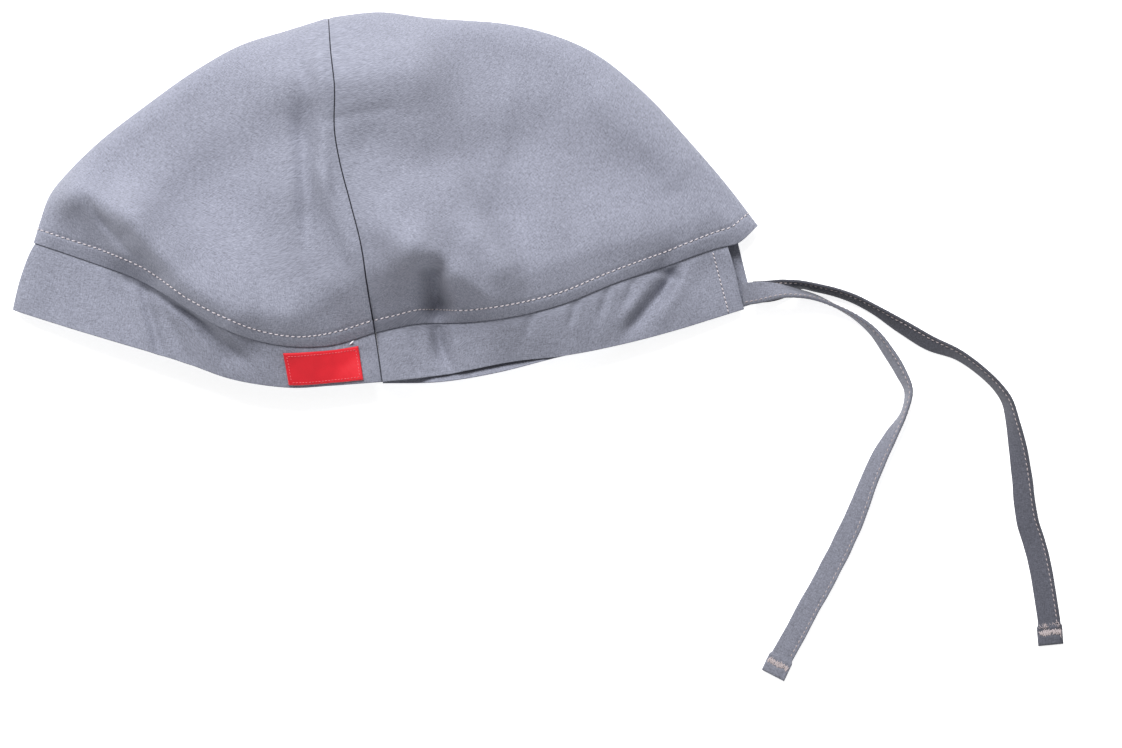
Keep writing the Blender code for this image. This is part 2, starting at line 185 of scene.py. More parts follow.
# Line past the open back that the dome falls away to
REAR_FALL = (Spot(143.4, -9.8), Spot(148.0, -48.0))

SHOULDERS = {
    Part.FRONT: listed(
        Shoulder,
        (0, 18, 0.64),      (0.1, 20.5, 0.5),   (0.2, 20.5, 0.42),  (0.27, 17.5, 0.51), (0.36, 12, 0.7),
        (0.42, 9, 0.82),    (0.5, 7.5, 0.88),   (0.65, 8.5, 0.9),   (0.78, 12, 0.86),   (0.9, 19, 0.75),
        (1, 24, 0.63),
    ),
    Part.REAR: listed(
        Shoulder,
        (0, 11, 0.84),      (0.17, 12.8, 0.8),  (0.3, 13.5, 0.72),  (0.44, 15.5, 0.69), (0.59, 14, 0.69),
        (0.685, 8.5, 0.79), (0.745, 17, 0.57),  (0.79, 21, 0.5),    (0.84, 25, 0.46),   (0.9, 24, 0.47),
        (0.94, 22, 0.49),   (1, 24, 0.52),
    ),
}

# Width of the crown's sewn hem, seen from above, at shares from the centre seam to the side seam
HEM_WIDTHS = {
    Part.FRONT: listed(
        HemWidth,
        (0, 5.6),     (0.09, 5.6),  (0.18, 6),    (0.32, 5.2),  (0.457, 3.4), (0.575, 4.2), (0.69, 4),
        (0.79, 4),    (0.88, 4.9),  (1, 4.8),
    ),
    Part.REAR: listed(
        HemWidth,
        (0, 6.2),    (0.07, 6.7), (0.14, 5.9), (0.24, 5.4), (0.38, 4.8), (0.52, 4.7), (0.66, 4.9),
        (0.76, 4.8), (0.88, 5.6), (0.94, 4.8), (1, 4.8),
    ),
}

# Half width below which a fold fades out slowly past its ends
NARROW_FOLD = 4.5

# The main dents and bulges of the left half
MAIN_FOLDS = listed(
    Fold,
    (-34, 45, 10, 50, 16, 14),         (-44, 27, 13, 24, 15, 4),
    (2, 12, 20, 0, 12, 3.5),           (-56, -12, -28, -18, 20, -8),
    (36, -6, 66, -10, 20, -9.5),       (48, -6, 52, -26, 10, -3.5),
    (-117, 4, -98, -14, 8.5, 6.5),     (-96, -19, -60, -48, 9, 5),
    (-92, -8, -76, -30, 10, 4.5),      (12, -20, 22, -30, 10, 8),
    (36, -16, 44, -26, 8, 3),          (-20, -44, -12, -60, 10, -3.5),
    (108, -26, 128, -28, 12, -3),      (86, 38, 112, 12, 9, 3),
    (-24.4, 54, -22.8, 6, 3.2, 1.8),   (-22.8, 6, -13.5, -18, 3.2, 1.9),
    (-31, 24, -29.5, -4, 4.4, -4),     (-34.5, 54.5, -31, 49.5, 4, -1.4),
    (-72, 2, -32, 34, 13, -5.5),       (-88, 2, -62, -26, 14, 3.2),
    (-114, -4, -98, -15, 5, -2.2),     (-98, -15, -88, -29, 4.5, -3),
    (19, -28.5, 20.5, -40, 5, -12.5),  (2, -12, 6, -17, 7, 1.5),
    (30, 6, 43, -26, 8, 2),            (-6, 20, 14, 12, 9, -2),
    (2, 12, 44, 16, 18, -8),           (62, -12, 116, -2, 13, 2.5),
    (120, 10, 132, -2, 4.5, -1.5),     (107, -27, 98, -48, 4, -1.6),
    (-66, -37, -38, -45, 9, 3.2),      (-8, 46, 12, 8, 22, 4),
    (21, -50, 23, -60, 4.4, -1.4),
)

# Puffed places, which the shoulder cuts off as it does the dome
PUFFS = listed(
    Fold,
    (-120, 1, -99, -4, 9, 5),     (-99, -4, -86, -20, 10, 5.5), (30, -10, 46, -25, 8, 3),
    (2, -8, 14, -20, 10, 2.5),
)

# Narrow creases and soft waves of the crown
CROWN_CREASES = listed(
    Fold,
    (-113.8, -0.6, -107.2, -9.4, 1.6, -1),   (-107.2, -9.4, -98.5, -19.5, 1.8, -1.1),
    (-34, 28, -31.5, 24, 2.2, -0.5),         (-31.8, 50, -30, 46.5, 2, -0.4),
    (-19.4, 30.2, -2.1, 34.1, 2.4, -0.5),    (48.5, 40, 44, 18, 4, 0.6),
    (9.5, -3.5, 5.6, -19, 4.6, -0.7),        (40.5, -5, 38.5, -22, 4.4, -0.8),
    (78, -6, 108, 1.5, 2.6, -0.3),           (118, 8.5, 127, -3.5, 1.6, 0.4),
    (124, 12, 131, 3, 1.4, 0.35),            (-50, -14, -47.5, -36, 3, -0.25),
    (-66, 40, -44, 53, 5, 0.4),              (62, 20, 104, 2, 16, -5),
)

# Narrow creases of the band's left side
BAND_CREASES = listed(
    Fold,
    (-96, -31, -76.4, -41.6, 2.6, -1.6),     (-88, -33, -76.4, -41, 3, -2.6),
    (-76.4, -41, -58.3, -57.6, 2.8, -3.2),   (-73.5, -38, -56, -53, 2.4, 1),
    (-69, -50.2, -61.8, -59.9, 2.2, -1.8),   (-64, -42.9, -52.2, -55.2, 2.4, -1.6),
    (-91.8, -36.3, -87.2, -53.5, 2.4, -1.9), (-96, -38, -92, -50, 2.4, 0.8),
    (-84, -44, -77, -58, 2.2, -0.8),         (-104.5, -30.5, -102, -36, 1.5, -0.9),
    (-99, -31.5, -97, -36.5, 1.5, -0.8),     (-110, -28, -108, -33, 2.4, 0.6),
    (-126, -30, -128, -44, 3, -0.5),         (11.5, -51, 12.5, -65, 2, -0.6),
    (20, -48, 21, -56, 2.6, -1.8),           (21, -55, 24.5, -63, 2, -1.2),
    (26.5, -50, 29, -60, 2.4, 0.7),          (56, -44.5, 54.5, -50, 1.6, -0.6),
    (73, -40, 71.5, -45.5, 1.5, -0.9),       (85.3, -35.5, 83.5, -41.5, 1.5, -0.9),
    (95, -32, 93.5, -37, 1.5, -0.7),         (104.5, -26.5, 110, -29, 1.8, -1.6),
    (110, -29, 107.5, -34, 2.2, -2),         (107.5, -34, 96.5, -46.5, 2.4, -2.4),
    (103.5, -30, 94, -42, 2.6, 1.2),         (114, -33, 108, -43, 2.8, 0.8),
    (88, -38, 84, -50, 2.6, 0.5),
)

# Where, along x, the far rear edge of the band comes up to the near one and goes down again
LIP_FROM = (-1, 20)
LIP_UNTIL = (58, 94)

# Distances in from a piece's far edge where its grid closes up for the round edge
EDGE_STEPS = np.array([0.04, 0.12, 0.25, 0.45]) * MM

# Routes of the ties
TIE_LEFT = listed(
    TiePoint,
    (137.4, -36.2, 7.2, 0),   (142.5, -35.6, 6.9, -14), (147.5, -35.1, 6.5, -36), (153.8, -35.1, 6.1, -60),
    (159.6, -35.9, 4.1, -73), (165.6, -37.4, 1.8, -80), (173.8, -41, 0, -90),     (181, -45, 0, -97),
    (187.8, -50.6, 0, -106),  (193.2, -57.8, 0, -114),  (198, -65.6, 0, -114),    (201.2, -73.2, 0, -106),
    (199.6, -81.4, 0, -100),  (194.4, -90.7, 0, -120),  (189.5, -99.9, 0, -134),  (185.6, -109.1, 0, -138),
    (182.1, -118.4, 0, -148), (178.1, -127.6, 0, -158), (173.6, -136.9, 0, -162), (168.8, -146.1, 0, -164),
    (163.7, -155.3, 0, -164), (158.8, -164.6, 0, -166), (153.6, -173.8, 0, -170), (149, -182.8, 0, -174),
)
TIE_RIGHT = listed(
    TiePoint,
    (141.6, -35.4, 0, 14),  (144.8, -35.2, 0, 16),  (148.4, -34.8, 0, 20),  (153.8, -33.6, 0, 40),
    (159.6, -32.5, 0, 72),  (165.6, -33.6, 0, 73),  (173.6, -35.5, 0, 73),  (180.5, -38, 0, 72),
    (188.1, -42, 0, 70),    (198.9, -48.7, 0, 56),  (209.6, -55, 0, 52),    (220.4, -59.4, 0, 66),
    (228.9, -65.4, 0, 70),  (235.4, -71.6, 0, 70),  (239, -76.8, 0, 66),    (241.5, -86, 0, 56),
    (243.3, -95.3, 0, 40),  (244.7, -104.5, 0, 30), (245.7, -113.8, 0, 22), (247, -123, 0, 12),
    (249.9, -132.2, 0, 6),  (252, -141.5, 0, 6),    (253.7, -150.7, 0, 6),  (255.1, -160, 0, 4),
    (256.2, -171.1, 0, 0),
)


def rolled(distance: Array, reach: float) -> Array:
    """From 0 at the edge to 1 at the reach, on a quarter of a circle."""
    return np.sqrt(1 - (1 - np.clip(distance / reach, 0, 1)) ** 2)


def eased(value: Array, low: float, high: float) -> Array:
    """From 0 at low to 1 at high, by 3t^2 - 2t^3."""
    t = np.clip((value - low) / (high - low), 0, 1)
    return t * t * (3 - 2 * t)


def bell(distance: Array, reach: float) -> Array:
    """From 1 at no distance towards 0 on both sides, by exp(-(distance / reach)^2)."""
    return np.exp(-((distance / reach) ** 2))


def unit(vectors: Array) -> Array:
    """The vectors at length one."""
    return vectors / np.maximum(np.linalg.norm(vectors, axis=-1, keepdims=True), 1e-12)


def run_lengths(points: Array, axis: int) -> Array:
    """Length along a grid's rows or columns, from 0 at the first point.

    Args:
        points: Grid of points.
        axis: The axis to run along.

    Returns:
        The length so far at each point.
    """
    steps = np.linalg.norm(np.diff(points, axis=axis), axis=-1)
    start = np.zeros_like(np.take(steps, [0], axis=axis))
    return np.concatenate([start, np.cumsum(steps, axis=axis)], axis=axis)


def at_lengths(wanted: Array, at: Array, rows: Array) -> Array:
    """A line's rows, read at distances along it."""
    return np.stack([np.interp(wanted, at, column) for column in rows.T], axis=-1)


def run_distance(plan: Array, first: Array, last: Array, past: float = 1.0) -> Array:
    """Distance from each point of the plan to the straight run between two points.

    Args:
        plan: Points seen from above.
        first: Start of the run.
        last: End of the run.
        past: How much a step past an end counts.

    Returns:
        One distance for each point.
    """
    run = last - first
    share = ((plan - first) @ run) / (run @ run)
    over = np.clip(share, 0, 1) - share
    beside = np.linalg.norm(plan - first - share[..., None] * run, axis=-1)
    return np.hypot(beside, past * over * np.linalg.norm(run))


def soft_noise(plan: Array, cell: float, seed: int) -> Array:
    """Smooth uneven waves: random heights on a square lattice, eased from one to the next.

    Args:
        plan: Points seen from above.
        cell: The lattice's spacing.
        seed: Seed of the heights.

    Returns:
        Heights from about -1 to 1.
    """
    lattice = np.random.default_rng(seed).uniform(-1, 1, (LATTICE + 1, LATTICE + 1))
    place = plan / cell + LATTICE // 2
    corner = np.floor(place).astype(int)
    t = eased(place - corner, 0, 1)
    i, j = corner[..., 0] % LATTICE, corner[..., 1] % LATTICE
    low = lattice[i, j] * (1 - t[..., 0]) + lattice[i + 1, j] * t[..., 0]
    high = lattice[i, j + 1] * (1 - t[..., 0]) + lattice[i + 1, j + 1] * t[..., 0]
    return low * (1 - t[..., 1]) + high * t[..., 1]


def cubic(at: Array, values: Array, fine: Array) -> Array:
    """Values between a table's rows, by cubic pieces that meet with one slope at each row.

    Args:
        at: Where the rows are, rising.
        values: One row of values for each.
        fine: Where values are wanted.

    Returns:
        One row of values for each place.
    """
    slopes = np.gradient(values, at, axis=0)
    k = np.clip(np.searchsorted(at, fine, side="right") - 1, 0, len(at) - 2)
    step = (at[k + 1] - at[k])[:, None]
    t = (fine - at[k])[:, None] / step
    start = (1 + 2 * t) * (1 - t) ** 2 * values[k] + t * (1 - t) ** 2 * step * slopes[k]
    end = t**2 * (3 - 2 * t) * values[k + 1] - t**2 * (1 - t) * step * slopes[k + 1]
    return start + end


class Line:
    """A smooth line through a table's rows, each with the mean slope beside it."""

    def __init__(self, rows: Sequence[NamedTuple], samples: int = 240, knots: int = 40) -> None:
        """Works out close points on the line.

        Args:
            rows: The table. Its first two columns are places in millimetres, which set the line's length.
            samples: How many points to work out.
            knots: How many runs stand for the line where a distance to it is measured.
        """
        points = np.array(rows, float)
        points[:, :2] *= MM
        at = run_lengths(points[:, :2], 0)
        self.points = cubic(at, points, np.linspace(0, at[-1], samples))
        self.runs = np.concatenate([self.points[:: samples // knots], self.points[-1:]])
        self.at = run_lengths(self.points[:, :2], 0)

    @property
    def length(self) -> float:
        """The line's length, seen from above."""
        return float(self.at[-1])

    def place(self, share: Array) -> Array:
        """A row of the table's columns at each share of the line's length."""
        return at_lengths(share * self.length, self.at, self.points)

    def distance(self, plan: Array) -> Array:
        """Distance from each point of the plan to the line."""
        return np.min([run_distance(plan, a[:2], b[:2]) for a, b in zip(self.runs, self.runs[1:])], axis=0)


def nearest(lines: Iterable[Line], plan: Array) -> Array:
    """Distance from each point of the plan to the nearest of several lines."""
    return np.minimum.reduce([line.distance(plan) for line in lines])


@dataclass
class CapForm:
    """The cap's form: a flat right half on the floor and a left half that is domed over it."""

    cloth: float = 0.6 * MM
    gap: float = 0.1 * MM
    seam_gap: float = 0.34 * MM
    under_seam_gap: float = 0.06 * MM
    seam_dip: float = 0.35 * MM
    seam_reach: float = 1.3 * MM
    edge_height: float = 5.0 * MM
    edge_reach: float = 7.0 * MM
    edge_rise: float = 8.0 * MM
    under_reach: float = 5.0 * MM
    under_drop: float = 0.5 * MM
    dome_rise: float = 29.0 * MM
    dome_reach: float = 88.0 * MM
    dome_settled: float = 0.8
    shoulder_round: float = 0.15
    belly: float = 0.34
    belly_reach: float = 62.0 * MM
    hem_drop: float = 0.9 * MM
    mouth_edge_rise: float = 4.0 * MM
    mouth_rise: float = 6.5 * MM
    mouth_swell: float = 6.0 * MM
    mouth_reach: float = 100.0 * MM
    band_end_height: float = 5.8 * MM
    lip_below: float = 1.2 * MM
    band_bow: float = 0.9 * MM
    band_bow_share: float = 0.12
    fold_fade: float = 12.0 * MM
    slow_end: float = 0.4
    tuck_length: float = 0.20
    tuck_least: float = 0.08 * MM
    rear_end: tuple[float, float] = (0.094, 0.066)
    hem_step: float = 0.22 * MM
    hem_step_run: tuple[float, float] = (-0.6 * MM, 0.8 * MM)
    hem_turn: float = 1.3
    stitch_dip: float = 0.34 * MM
    stitch_dip_reach: float = 0.75 * MM
    pucker: float = 0.16 * MM
    pucker_pitch: float = 7.5 * MM
    pucker_reach: float = 4.5 * MM
    slack: float = 0.35 * MM
    slack_cell: float = 17.0 * MM
    fine_slack: float = 0.3
    fine_cell: float = 0.4
    band_slack: float = 0.7
    band_cell: float = 9 * MM
    band_fine_slack: float = 0.35
    band_fine_cell: float = 4 * MM
    band_smooth: float = 0.1

    def __post_init__(self) -> None:
        """Draws the outlines, the seams and the shoulders' curves."""
        self.centre = {Part.FRONT: Line(CENTRE_FRONT), Part.REAR: Line(CENTRE_REAR)}
        self.side = Line(SIDE_SEAM)
        self.hem = {Part.FRONT: Line(HEM_FRONT), Part.REAR: Line(HEM_REAR)}
        front = Line(MOUTH_FRONT)
        self.mouth = {
            (Part.FRONT, Half.LEFT): front,
            (Part.FRONT, Half.RIGHT): front,
            (Part.REAR, Half.LEFT): Line(MOUTH_REAR_LEFT),
            (Part.REAR, Half.RIGHT): Line(MOUTH_REAR_RIGHT),
        }
        shares = np.linspace(0, 1, 200)
        self.shoulder = {}
        for part, rows in SHOULDERS.items():
            table = np.array(rows)
            self.shoulder[part] = cubic(table[:, 0], table, shares)
        self.front_fold = np.array([self.hem[Part.FRONT].points[0], front.points[0]])
        self.rear_line = np.array(REAR_FALL) * MM

    def folds(self, rows: Iterable[Fold], plan: Array, edge_distance: Array) -> Array:
        """Rise of a table of folds: each is a run with a bell-shaped section, exp(-(distance / half width)^2).

        A narrow fold fades out slowly past its two ends.

        Args:
            rows: The table.
            plan: Points seen from above.
            edge_distance: Distance in from the centre seam, where every fold fades out.

        Returns:
            The rise at each point.
        """
        rise = np.zeros(plan.shape[:-1])
        for row in rows:
            first, last = np.array([row.x1, row.y1]) * MM, np.array([row.x2, row.y2]) * MM
            past = self.slow_end if row.half_width < NARROW_FOLD else 1.0
            rise += row.rise * MM * bell(run_distance(plan, first, last, past), row.half_width * MM)
        return rise * rolled(edge_distance, self.fold_fade)

    def outline_distance(self, plan: Array) -> Array:
        """Distance in from the centre seam, the front fold and the line past the open back."""
        ends = [run_distance(plan, *run) for run in (self.front_fold, self.rear_line)]
        return np.minimum.reduce([nearest(self.centre.values(), plan), *ends])

    def hem_distance(self, plan: Array, down: Array) -> Array:
        """Distance up from the crown's hem, and 0 on it."""
        return np.where(down >= 1, 0, nearest(self.hem.values(), plan))

    def gap_beside(self, half: Half) -> float:
        """Gap at the seam between two pieces of a half."""
        return self.seam_gap if half is Half.LEFT else self.under_seam_gap

    def crown_plan(self, part: Part, across: Array, down: Array) -> Array:
        """The gore from above: a blend of its two seams, plus the hem's bow that grows with down squared.

        Args:
            part: Front or rear.
            across: 0 at the centre seam, 1 at the side seam.
            down: 0 at the crown's top, 1 at the hem.

        Returns:
            Points seen from above.
        """
        hem = self.hem[part]
        a = across[..., None]
        chord = (1 - a) * hem.points[0] + a * hem.points[-1]
        blend = (1 - a) * self.centre[part].place(down) + a * self.side.place(down)
        return blend + down[..., None] ** 2 * (hem.place(across) - chord)

    def shoulder_share(self, part: Part, across: Array, above_hem: Array) -> Array:
        """Share of the dome's height: a gentle fall towards the hem, then straight down to the hem's own share.

        Args:
            part: Front or rear.
            across: 0 at the centre seam, 1 at the side seam.
            above_hem: Distance up from the hem.

        Returns:
            (1 - belly * (1 - distance / belly reach)^2) times the shoulder's rounded ramp.
        """
        table = self.shoulder[part]
        reach = np.interp(across, table[:, 0], table[:, 1]) * MM
        hem_share = np.interp(across, table[:, 0], table[:, 2])
        t = above_hem / reach
        rise = (t + 1 - np.sqrt((t - 1) ** 2 + self.shoulder_round**2)) / 2
        fall = 1 - self.belly * np.clip(1 - above_hem / self.belly_reach, 0, 1) ** 2
        return fall * (hem_share + (1 - hem_share) * rise)

    def hem_width(self, part: Part, across: Array) -> Array:
        """Width of the sewn hem, seen from above, at each share across."""
        table = np.array(HEM_WIDTHS[part])
        return np.interp(across, table[:, 0], table[:, 1] * MM)

    def sewn(self, part: Part, across: Array, above_hem: Array) -> Array:
        """Relief of the sewn hem: a step of doubled cloth, a dip under the stitches and puckers that fade above.

        Args:
            part: Front or rear.
            across: 0 at the centre seam, 1 at the side seam.
            above_hem: Distance up from the hem.

        Returns:
            The rise at each point.
        """
        above_stitch = above_hem - self.hem_width(part, across)
        step = self.hem_step * (1 - eased(above_stitch, *self.hem_step_run))
        dip = self.stitch_dip * bell(above_stitch, self.stitch_dip_reach)
        beat = 2 * np.pi * across * self.hem[part].length / self.pucker_pitch
        wave = np.sin(beat + 1.4 * np.sin(beat * 0.31)) * (0.6 + 0.4 * np.sin(beat * 0.17 + 2))
        return step - dip + self.pucker * wave * bell(above_stitch, self.pucker_reach)

    def crown(self, part: Part, half: Half, across: Array, down: Array, fine: bool = True) -> Array:
        """The outer face of a gore.

        The left height is the edge's height, plus a rolled edge and a blend of a quarter sine and an ease of the
        distance in from the outline, both cut back below the shoulder, plus the folds.
        The right height falls to 0 on a quarter circle.

        Args:
            part: Front or rear.
            half: Left or right.
            across: 0 at the centre seam, 1 at the side seam.
            down: 0 at the crown's top, 1 at the hem.
            fine: Whether creases, slack and the hem's relief are added.

        Returns:
            Points on the face.
        """
        plan = self.crown_plan(part, across, down)
        side = self.side.place(down)
        edge = across * nearest(self.centre.values(), side)
        above = self.hem_distance(plan, down)
        if half is Half.RIGHT:
            height = (self.edge_height - self.under_drop) * (1 - rolled(edge, self.under_reach))
            return np.concatenate([plan, height[..., None]], axis=-1)
        rim = rolled(edge, self.edge_reach)
        dome = self.edge_rise * rim
        swell = np.clip(self.outline_distance(plan) / self.dome_reach, 0, 1)
        full, settled = np.sin(np.pi / 2 * swell), eased(swell, 0, 1)
        dome += self.dome_rise * (full + self.dome_settled * (settled - full))
        dome += self.folds(PUFFS, plan, edge)
        height = self.edge_height + dome * self.shoulder_share(part, across, above)
        height += self.folds(MAIN_FOLDS, plan, edge)
        turned = np.clip(1 - above / (self.hem_turn * self.hem_width(part, across)), 0, 1) ** 2
        height -= self.hem_drop * turned * rim
        if fine:
            height += self.folds(CROWN_CREASES, plan, edge)
            fade = rolled(edge, self.fold_fade)
            height += self.slack * soft_noise(plan, self.slack_cell, 3) * fade
            height += self.fine_slack * self.slack * soft_noise(plan, self.slack_cell * self.fine_cell, 5) * fade
            height += self.sewn(part, across, above) * rim
            beside = np.linalg.norm(plan - side[..., :2], axis=-1)
            height -= self.seam_dip * bell(beside, self.seam_reach) * rim
        return np.concatenate([plan, height[..., None]], axis=-1)

    def mouth_height(self, part: Part, half: Half, share: Array) -> Array:
        """Height of the band's lower edge.

        It rises from its end by a quarter sine, and in front by half a sine more. The far rear edge comes up to
        the near one between the lip's ends.

        Args:
            part: Front or rear.
            half: Left or right.
            share: From the front fold, or from the rear end, to 1 at the side seam.

        Returns:
            The height at each share.
        """
        length = share * self.mouth[part, half].length
        swell = np.sin(np.pi / 2 * np.clip(length / self.mouth_reach, 0, 1))
        if part is Part.REAR:
            full = self.edge_height + self.mouth_edge_rise + self.mouth_rise
            near = self.band_end_height + (full - self.band_end_height) * swell
            x = self.mouth[part, half].place(share)[..., 0] / MM
            shut = eased(x, *LIP_FROM) * (1 - eased(x, *LIP_UNTIL))
            return near if half is Half.LEFT else shut * (near - self.lip_below)
        if half is Half.RIGHT:
            return self.edge_height * (1 - rolled(length, self.under_reach))
        swell = self.mouth_rise * swell + self.mouth_swell * np.sin(np.pi * share)
        return self.edge_height + self.mouth_edge_rise * rolled(length, self.edge_reach) + swell

    def band(self, part: Part, half: Half, share: Array, down: Array) -> Array:
        """The outer face that the band follows: the crown's own under its hem, and a straight blend below it.

        Args:
            part: Front or rear.
            half: Left or right.
            share: From the front fold, or from the rear end, to 1 at the side seam.
            down: Below 0 under the crown, 0 at its hem, 1 at the mouth.

        Returns:
            Points on the face.
        """
        first = 0.0 if part is Part.FRONT else self.rear_end[list(Half).index(half)]
        across = first + (1 - first) * share
        tucked = self.crown(part, half, across, 1 + np.minimum(down, 0))
        hem = self.crown(part, half, across, np.ones_like(share))
        mouth = self.mouth[part, half].place(share)
        mouth = np.concatenate([mouth, self.mouth_height(part, half, share)[..., None]], axis=-1)
        w = np.clip(down, 0, 1)
        below = (1 - w[..., None]) * hem + w[..., None] * mouth
        if part is Part.FRONT:
            fade = (1 - np.clip(share / self.band_bow_share, 0, 1)) ** 2
            below[..., 0] -= self.band_bow * np.sin(np.pi * w) * fade
        if half is Half.LEFT:
            edge = share * self.dome_reach
            below[..., 2] += self.folds(MAIN_FOLDS, below[..., :2], edge) * np.cos(np.pi / 2 * w)
            below[..., 2] -= self.folds(MAIN_FOLDS, hem[..., :2], edge) * (1 - w)
            below[..., 2] += self.band_relief(below[..., :2], edge, w)
        return np.where(down[..., None] < 0, tucked, below)

    def band_relief(self, plan: Array, edge: Array, w: Array) -> Array:
        """Creases and slack of the band's left side, which fade out under the crown's hem.

        Args:
            plan: Points seen from above.
            edge: Distance in from the front fold or the rear end.
            w: 0 at the crown's hem, 1 at the mouth.

        Returns:
            The rise at each point.
        """
        creases = self.folds(BAND_CREASES, plan, edge)
        wide = self.band_slack * soft_noise(plan, self.band_cell, 8)
        slack = self.slack * (wide + self.band_fine_slack * soft_noise(plan, self.band_fine_cell, 9))
        return (creases + slack * rolled(edge, self.fold_fade)) * eased(w, 0, self.band_smooth)

    def tucked_in(self, points: Array, down: Array, outward: Array) -> Array:
        """The band's face: under the crown it lies in by the hem's cloth and a gap, and lower down it comes out.

        Args:
            points: Points on the form that the band follows.
            down: Below 0 under the crown, 0 at its hem, 1 at the mouth.
            outward: Unit normals there.

        Returns:
            Points on the band's own face.
        """
        tuck = self.cloth + self.gap
        inward = self.tuck_least + (tuck - self.tuck_least) * np.clip(1 - down / self.tuck_length, 0, 1) ** 2
        return points - np.where(down < 0, tuck, inward)[..., None] * outward


def grid_normals(points: Array) -> Array:
    """Unit normals of a grid: the cross product of the slopes along its rows and columns."""
    return unit(np.cross(np.gradient(points, axis=1), np.gradient(points, axis=0)))


def facing(points: Array, up: Array) -> Array:
    """Unit normals of a grid, turned over where they look away from a direction on the whole."""
    outward = grid_normals(points)
    return outward * np.sign(outward.mean(axis=(0, 1)) @ up)


def corners(index: Indices) -> Indices:
    """Corner indices of the four-sided faces between a grid's points."""
    cells = [index[:-1, :-1], index[:-1, 1:], index[1:, 1:], index[1:, :-1]]
    return np.stack(cells, axis=-1).reshape(-1, 4)


def halved(quads: Indices) -> Indices:
    """Two triangles for each four-sided face."""
    return np.concatenate([quads[:, [0, 1, 2]], quads[:, [0, 2, 3]]])


def make_mesh(name: str, points: Array, faces: Indices, uv: Array | None = None) -> bpy.types.Object:
    """Puts points and faces into a new object at the origin, smooth shaded.

    Args:
        name: The object's name.
        points: One row for each vertex.
        faces: One row of corner indices for each face.
        uv: A pair for each vertex, in metres of cloth.

    Returns:
        The new object, in the scene.
    """
    mesh = bpy.data.meshes.new(name)
    mesh.vertices.add(len(points))
    mesh.vertices.foreach_set("co", np.asarray(points, np.float32).ravel())
    mesh.loops.add(faces.size)
    mesh.loops.foreach_set("vertex_index", faces.ravel().astype(np.int32))
    mesh.polygons.add(len(faces))
    mesh.polygons.foreach_set("loop_start", np.arange(0, faces.size, faces.shape[1], dtype=np.int32))
    mesh.update(calc_edges=True)
    if uv is not None:
        layer = mesh.uv_layers.new(name="cloth")
        layer.data.foreach_set("uv", uv[faces.ravel()].astype(np.float32).ravel())
    mesh.shade_smooth()
    mesh.validate()
    made = bpy.data.objects.new(name, mesh)
    bpy.context.scene.collection.objects.link(made)
    return made


def dress(piece: bpy.types.Object, finish: bpy.types.Material) -> None:
    """Gives a piece its finish, puts it on the one body and reports it.

    Args:
        piece: The piece.
        finish: Its material.
    """
    piece.data.materials.append(finish)
    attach(piece, BODY)
    log.info("%s: %d faces", piece.name, len(piece.data.polygons))


@dataclass(frozen=True)
class Cut:
    """The flat size of a piece of cloth, measured along its finished face."""

    width: float
    length: float
    area: float

    @classmethod
    def measured(cls, face: Array) -> "Cut":
        """Measures a face: its longest row, its longest column, and the sum of its cells' areas.

        Args:
            face: Grid of points.

        Returns:
            The piece's flat size.
        """
        width = float(run_lengths(face, 1)[:, -1].max())
        length = float(run_lengths(face, 0)[-1].max())
        cells = np.cross(np.diff(face, axis=1)[:-1], np.diff(face, axis=0)[:, :-1])
        area = float(np.linalg.norm(cells, axis=-1).sum())
        return cls(width, length, min(area, width * length))


@dataclass(frozen=True)
class ClothWall:
    """A closed wall of cloth that stands for a node, with round edges on its four sides."""

    node: str
    slot: Slot
    rests_on: str
    thickness: float
    held: str = "folded"
    edge_round: float = 0.28 * MM

    def build(self, face: Array, up: Array) -> bpy.types.Object:
        """Makes the wall: its two faces lie half a thickness off its middle, and meet on a round edge.

        The uv map holds the length along the rows and along the columns, in metres.

        Args:
            face: Grid of points on the outer face.
            up: A direction that the outer face looks towards, over all.

        Returns:
            The new object.
        """
        outward = facing(face, up)
        u, v = run_lengths(face, 1), run_lengths(face, 0)
        rim = np.minimum.reduce([u, u[:, -1:] - u, v, v[-1:] - v])
        half = (self.thickness / 2 * rolled(rim, self.edge_round))[..., None] * outward
        middle = face - self.thickness / 2 * outward
        index = np.arange(rim.size).reshape(rim.shape)
        inside = index + rim.size
        inside[[0, -1], :] = index[[0, -1], :]
        inside[:, [0, -1]] = index[:, [0, -1]]
        faces = np.concatenate([corners(index), corners(inside)[:, ::-1]])
        if grid_normals(face).mean(axis=(0, 1)) @ up < 0:
            faces = faces[:, ::-1]
        kept = np.unique(faces)
        order = np.zeros(2 * rim.size, int)
        order[kept] = np.arange(len(kept))
        points = np.concatenate([(middle + half).reshape(-1, 3), (middle - half).reshape(-1, 3)])
        uv = np.stack([u, v], axis=-1).reshape(-1, 2)
        return make_mesh(f"{self.node}_cloth", points[kept], order[faces], np.concatenate([uv, uv])[kept])

    def lay(self, face: Array, up: Array, finish: bpy.types.Material) -> Cut:
        """Args:
            face: Grid of points on the outer face.
            up: A direction that the outer face looks towards, over all.
            finish: Its material.

        Returns:
            Its flat size.
        """
        cloth = self.build(face, up)
        dress(cloth, finish)
        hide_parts(self.node)
        cut = Cut.measured(face)
        cut.length
        return cut


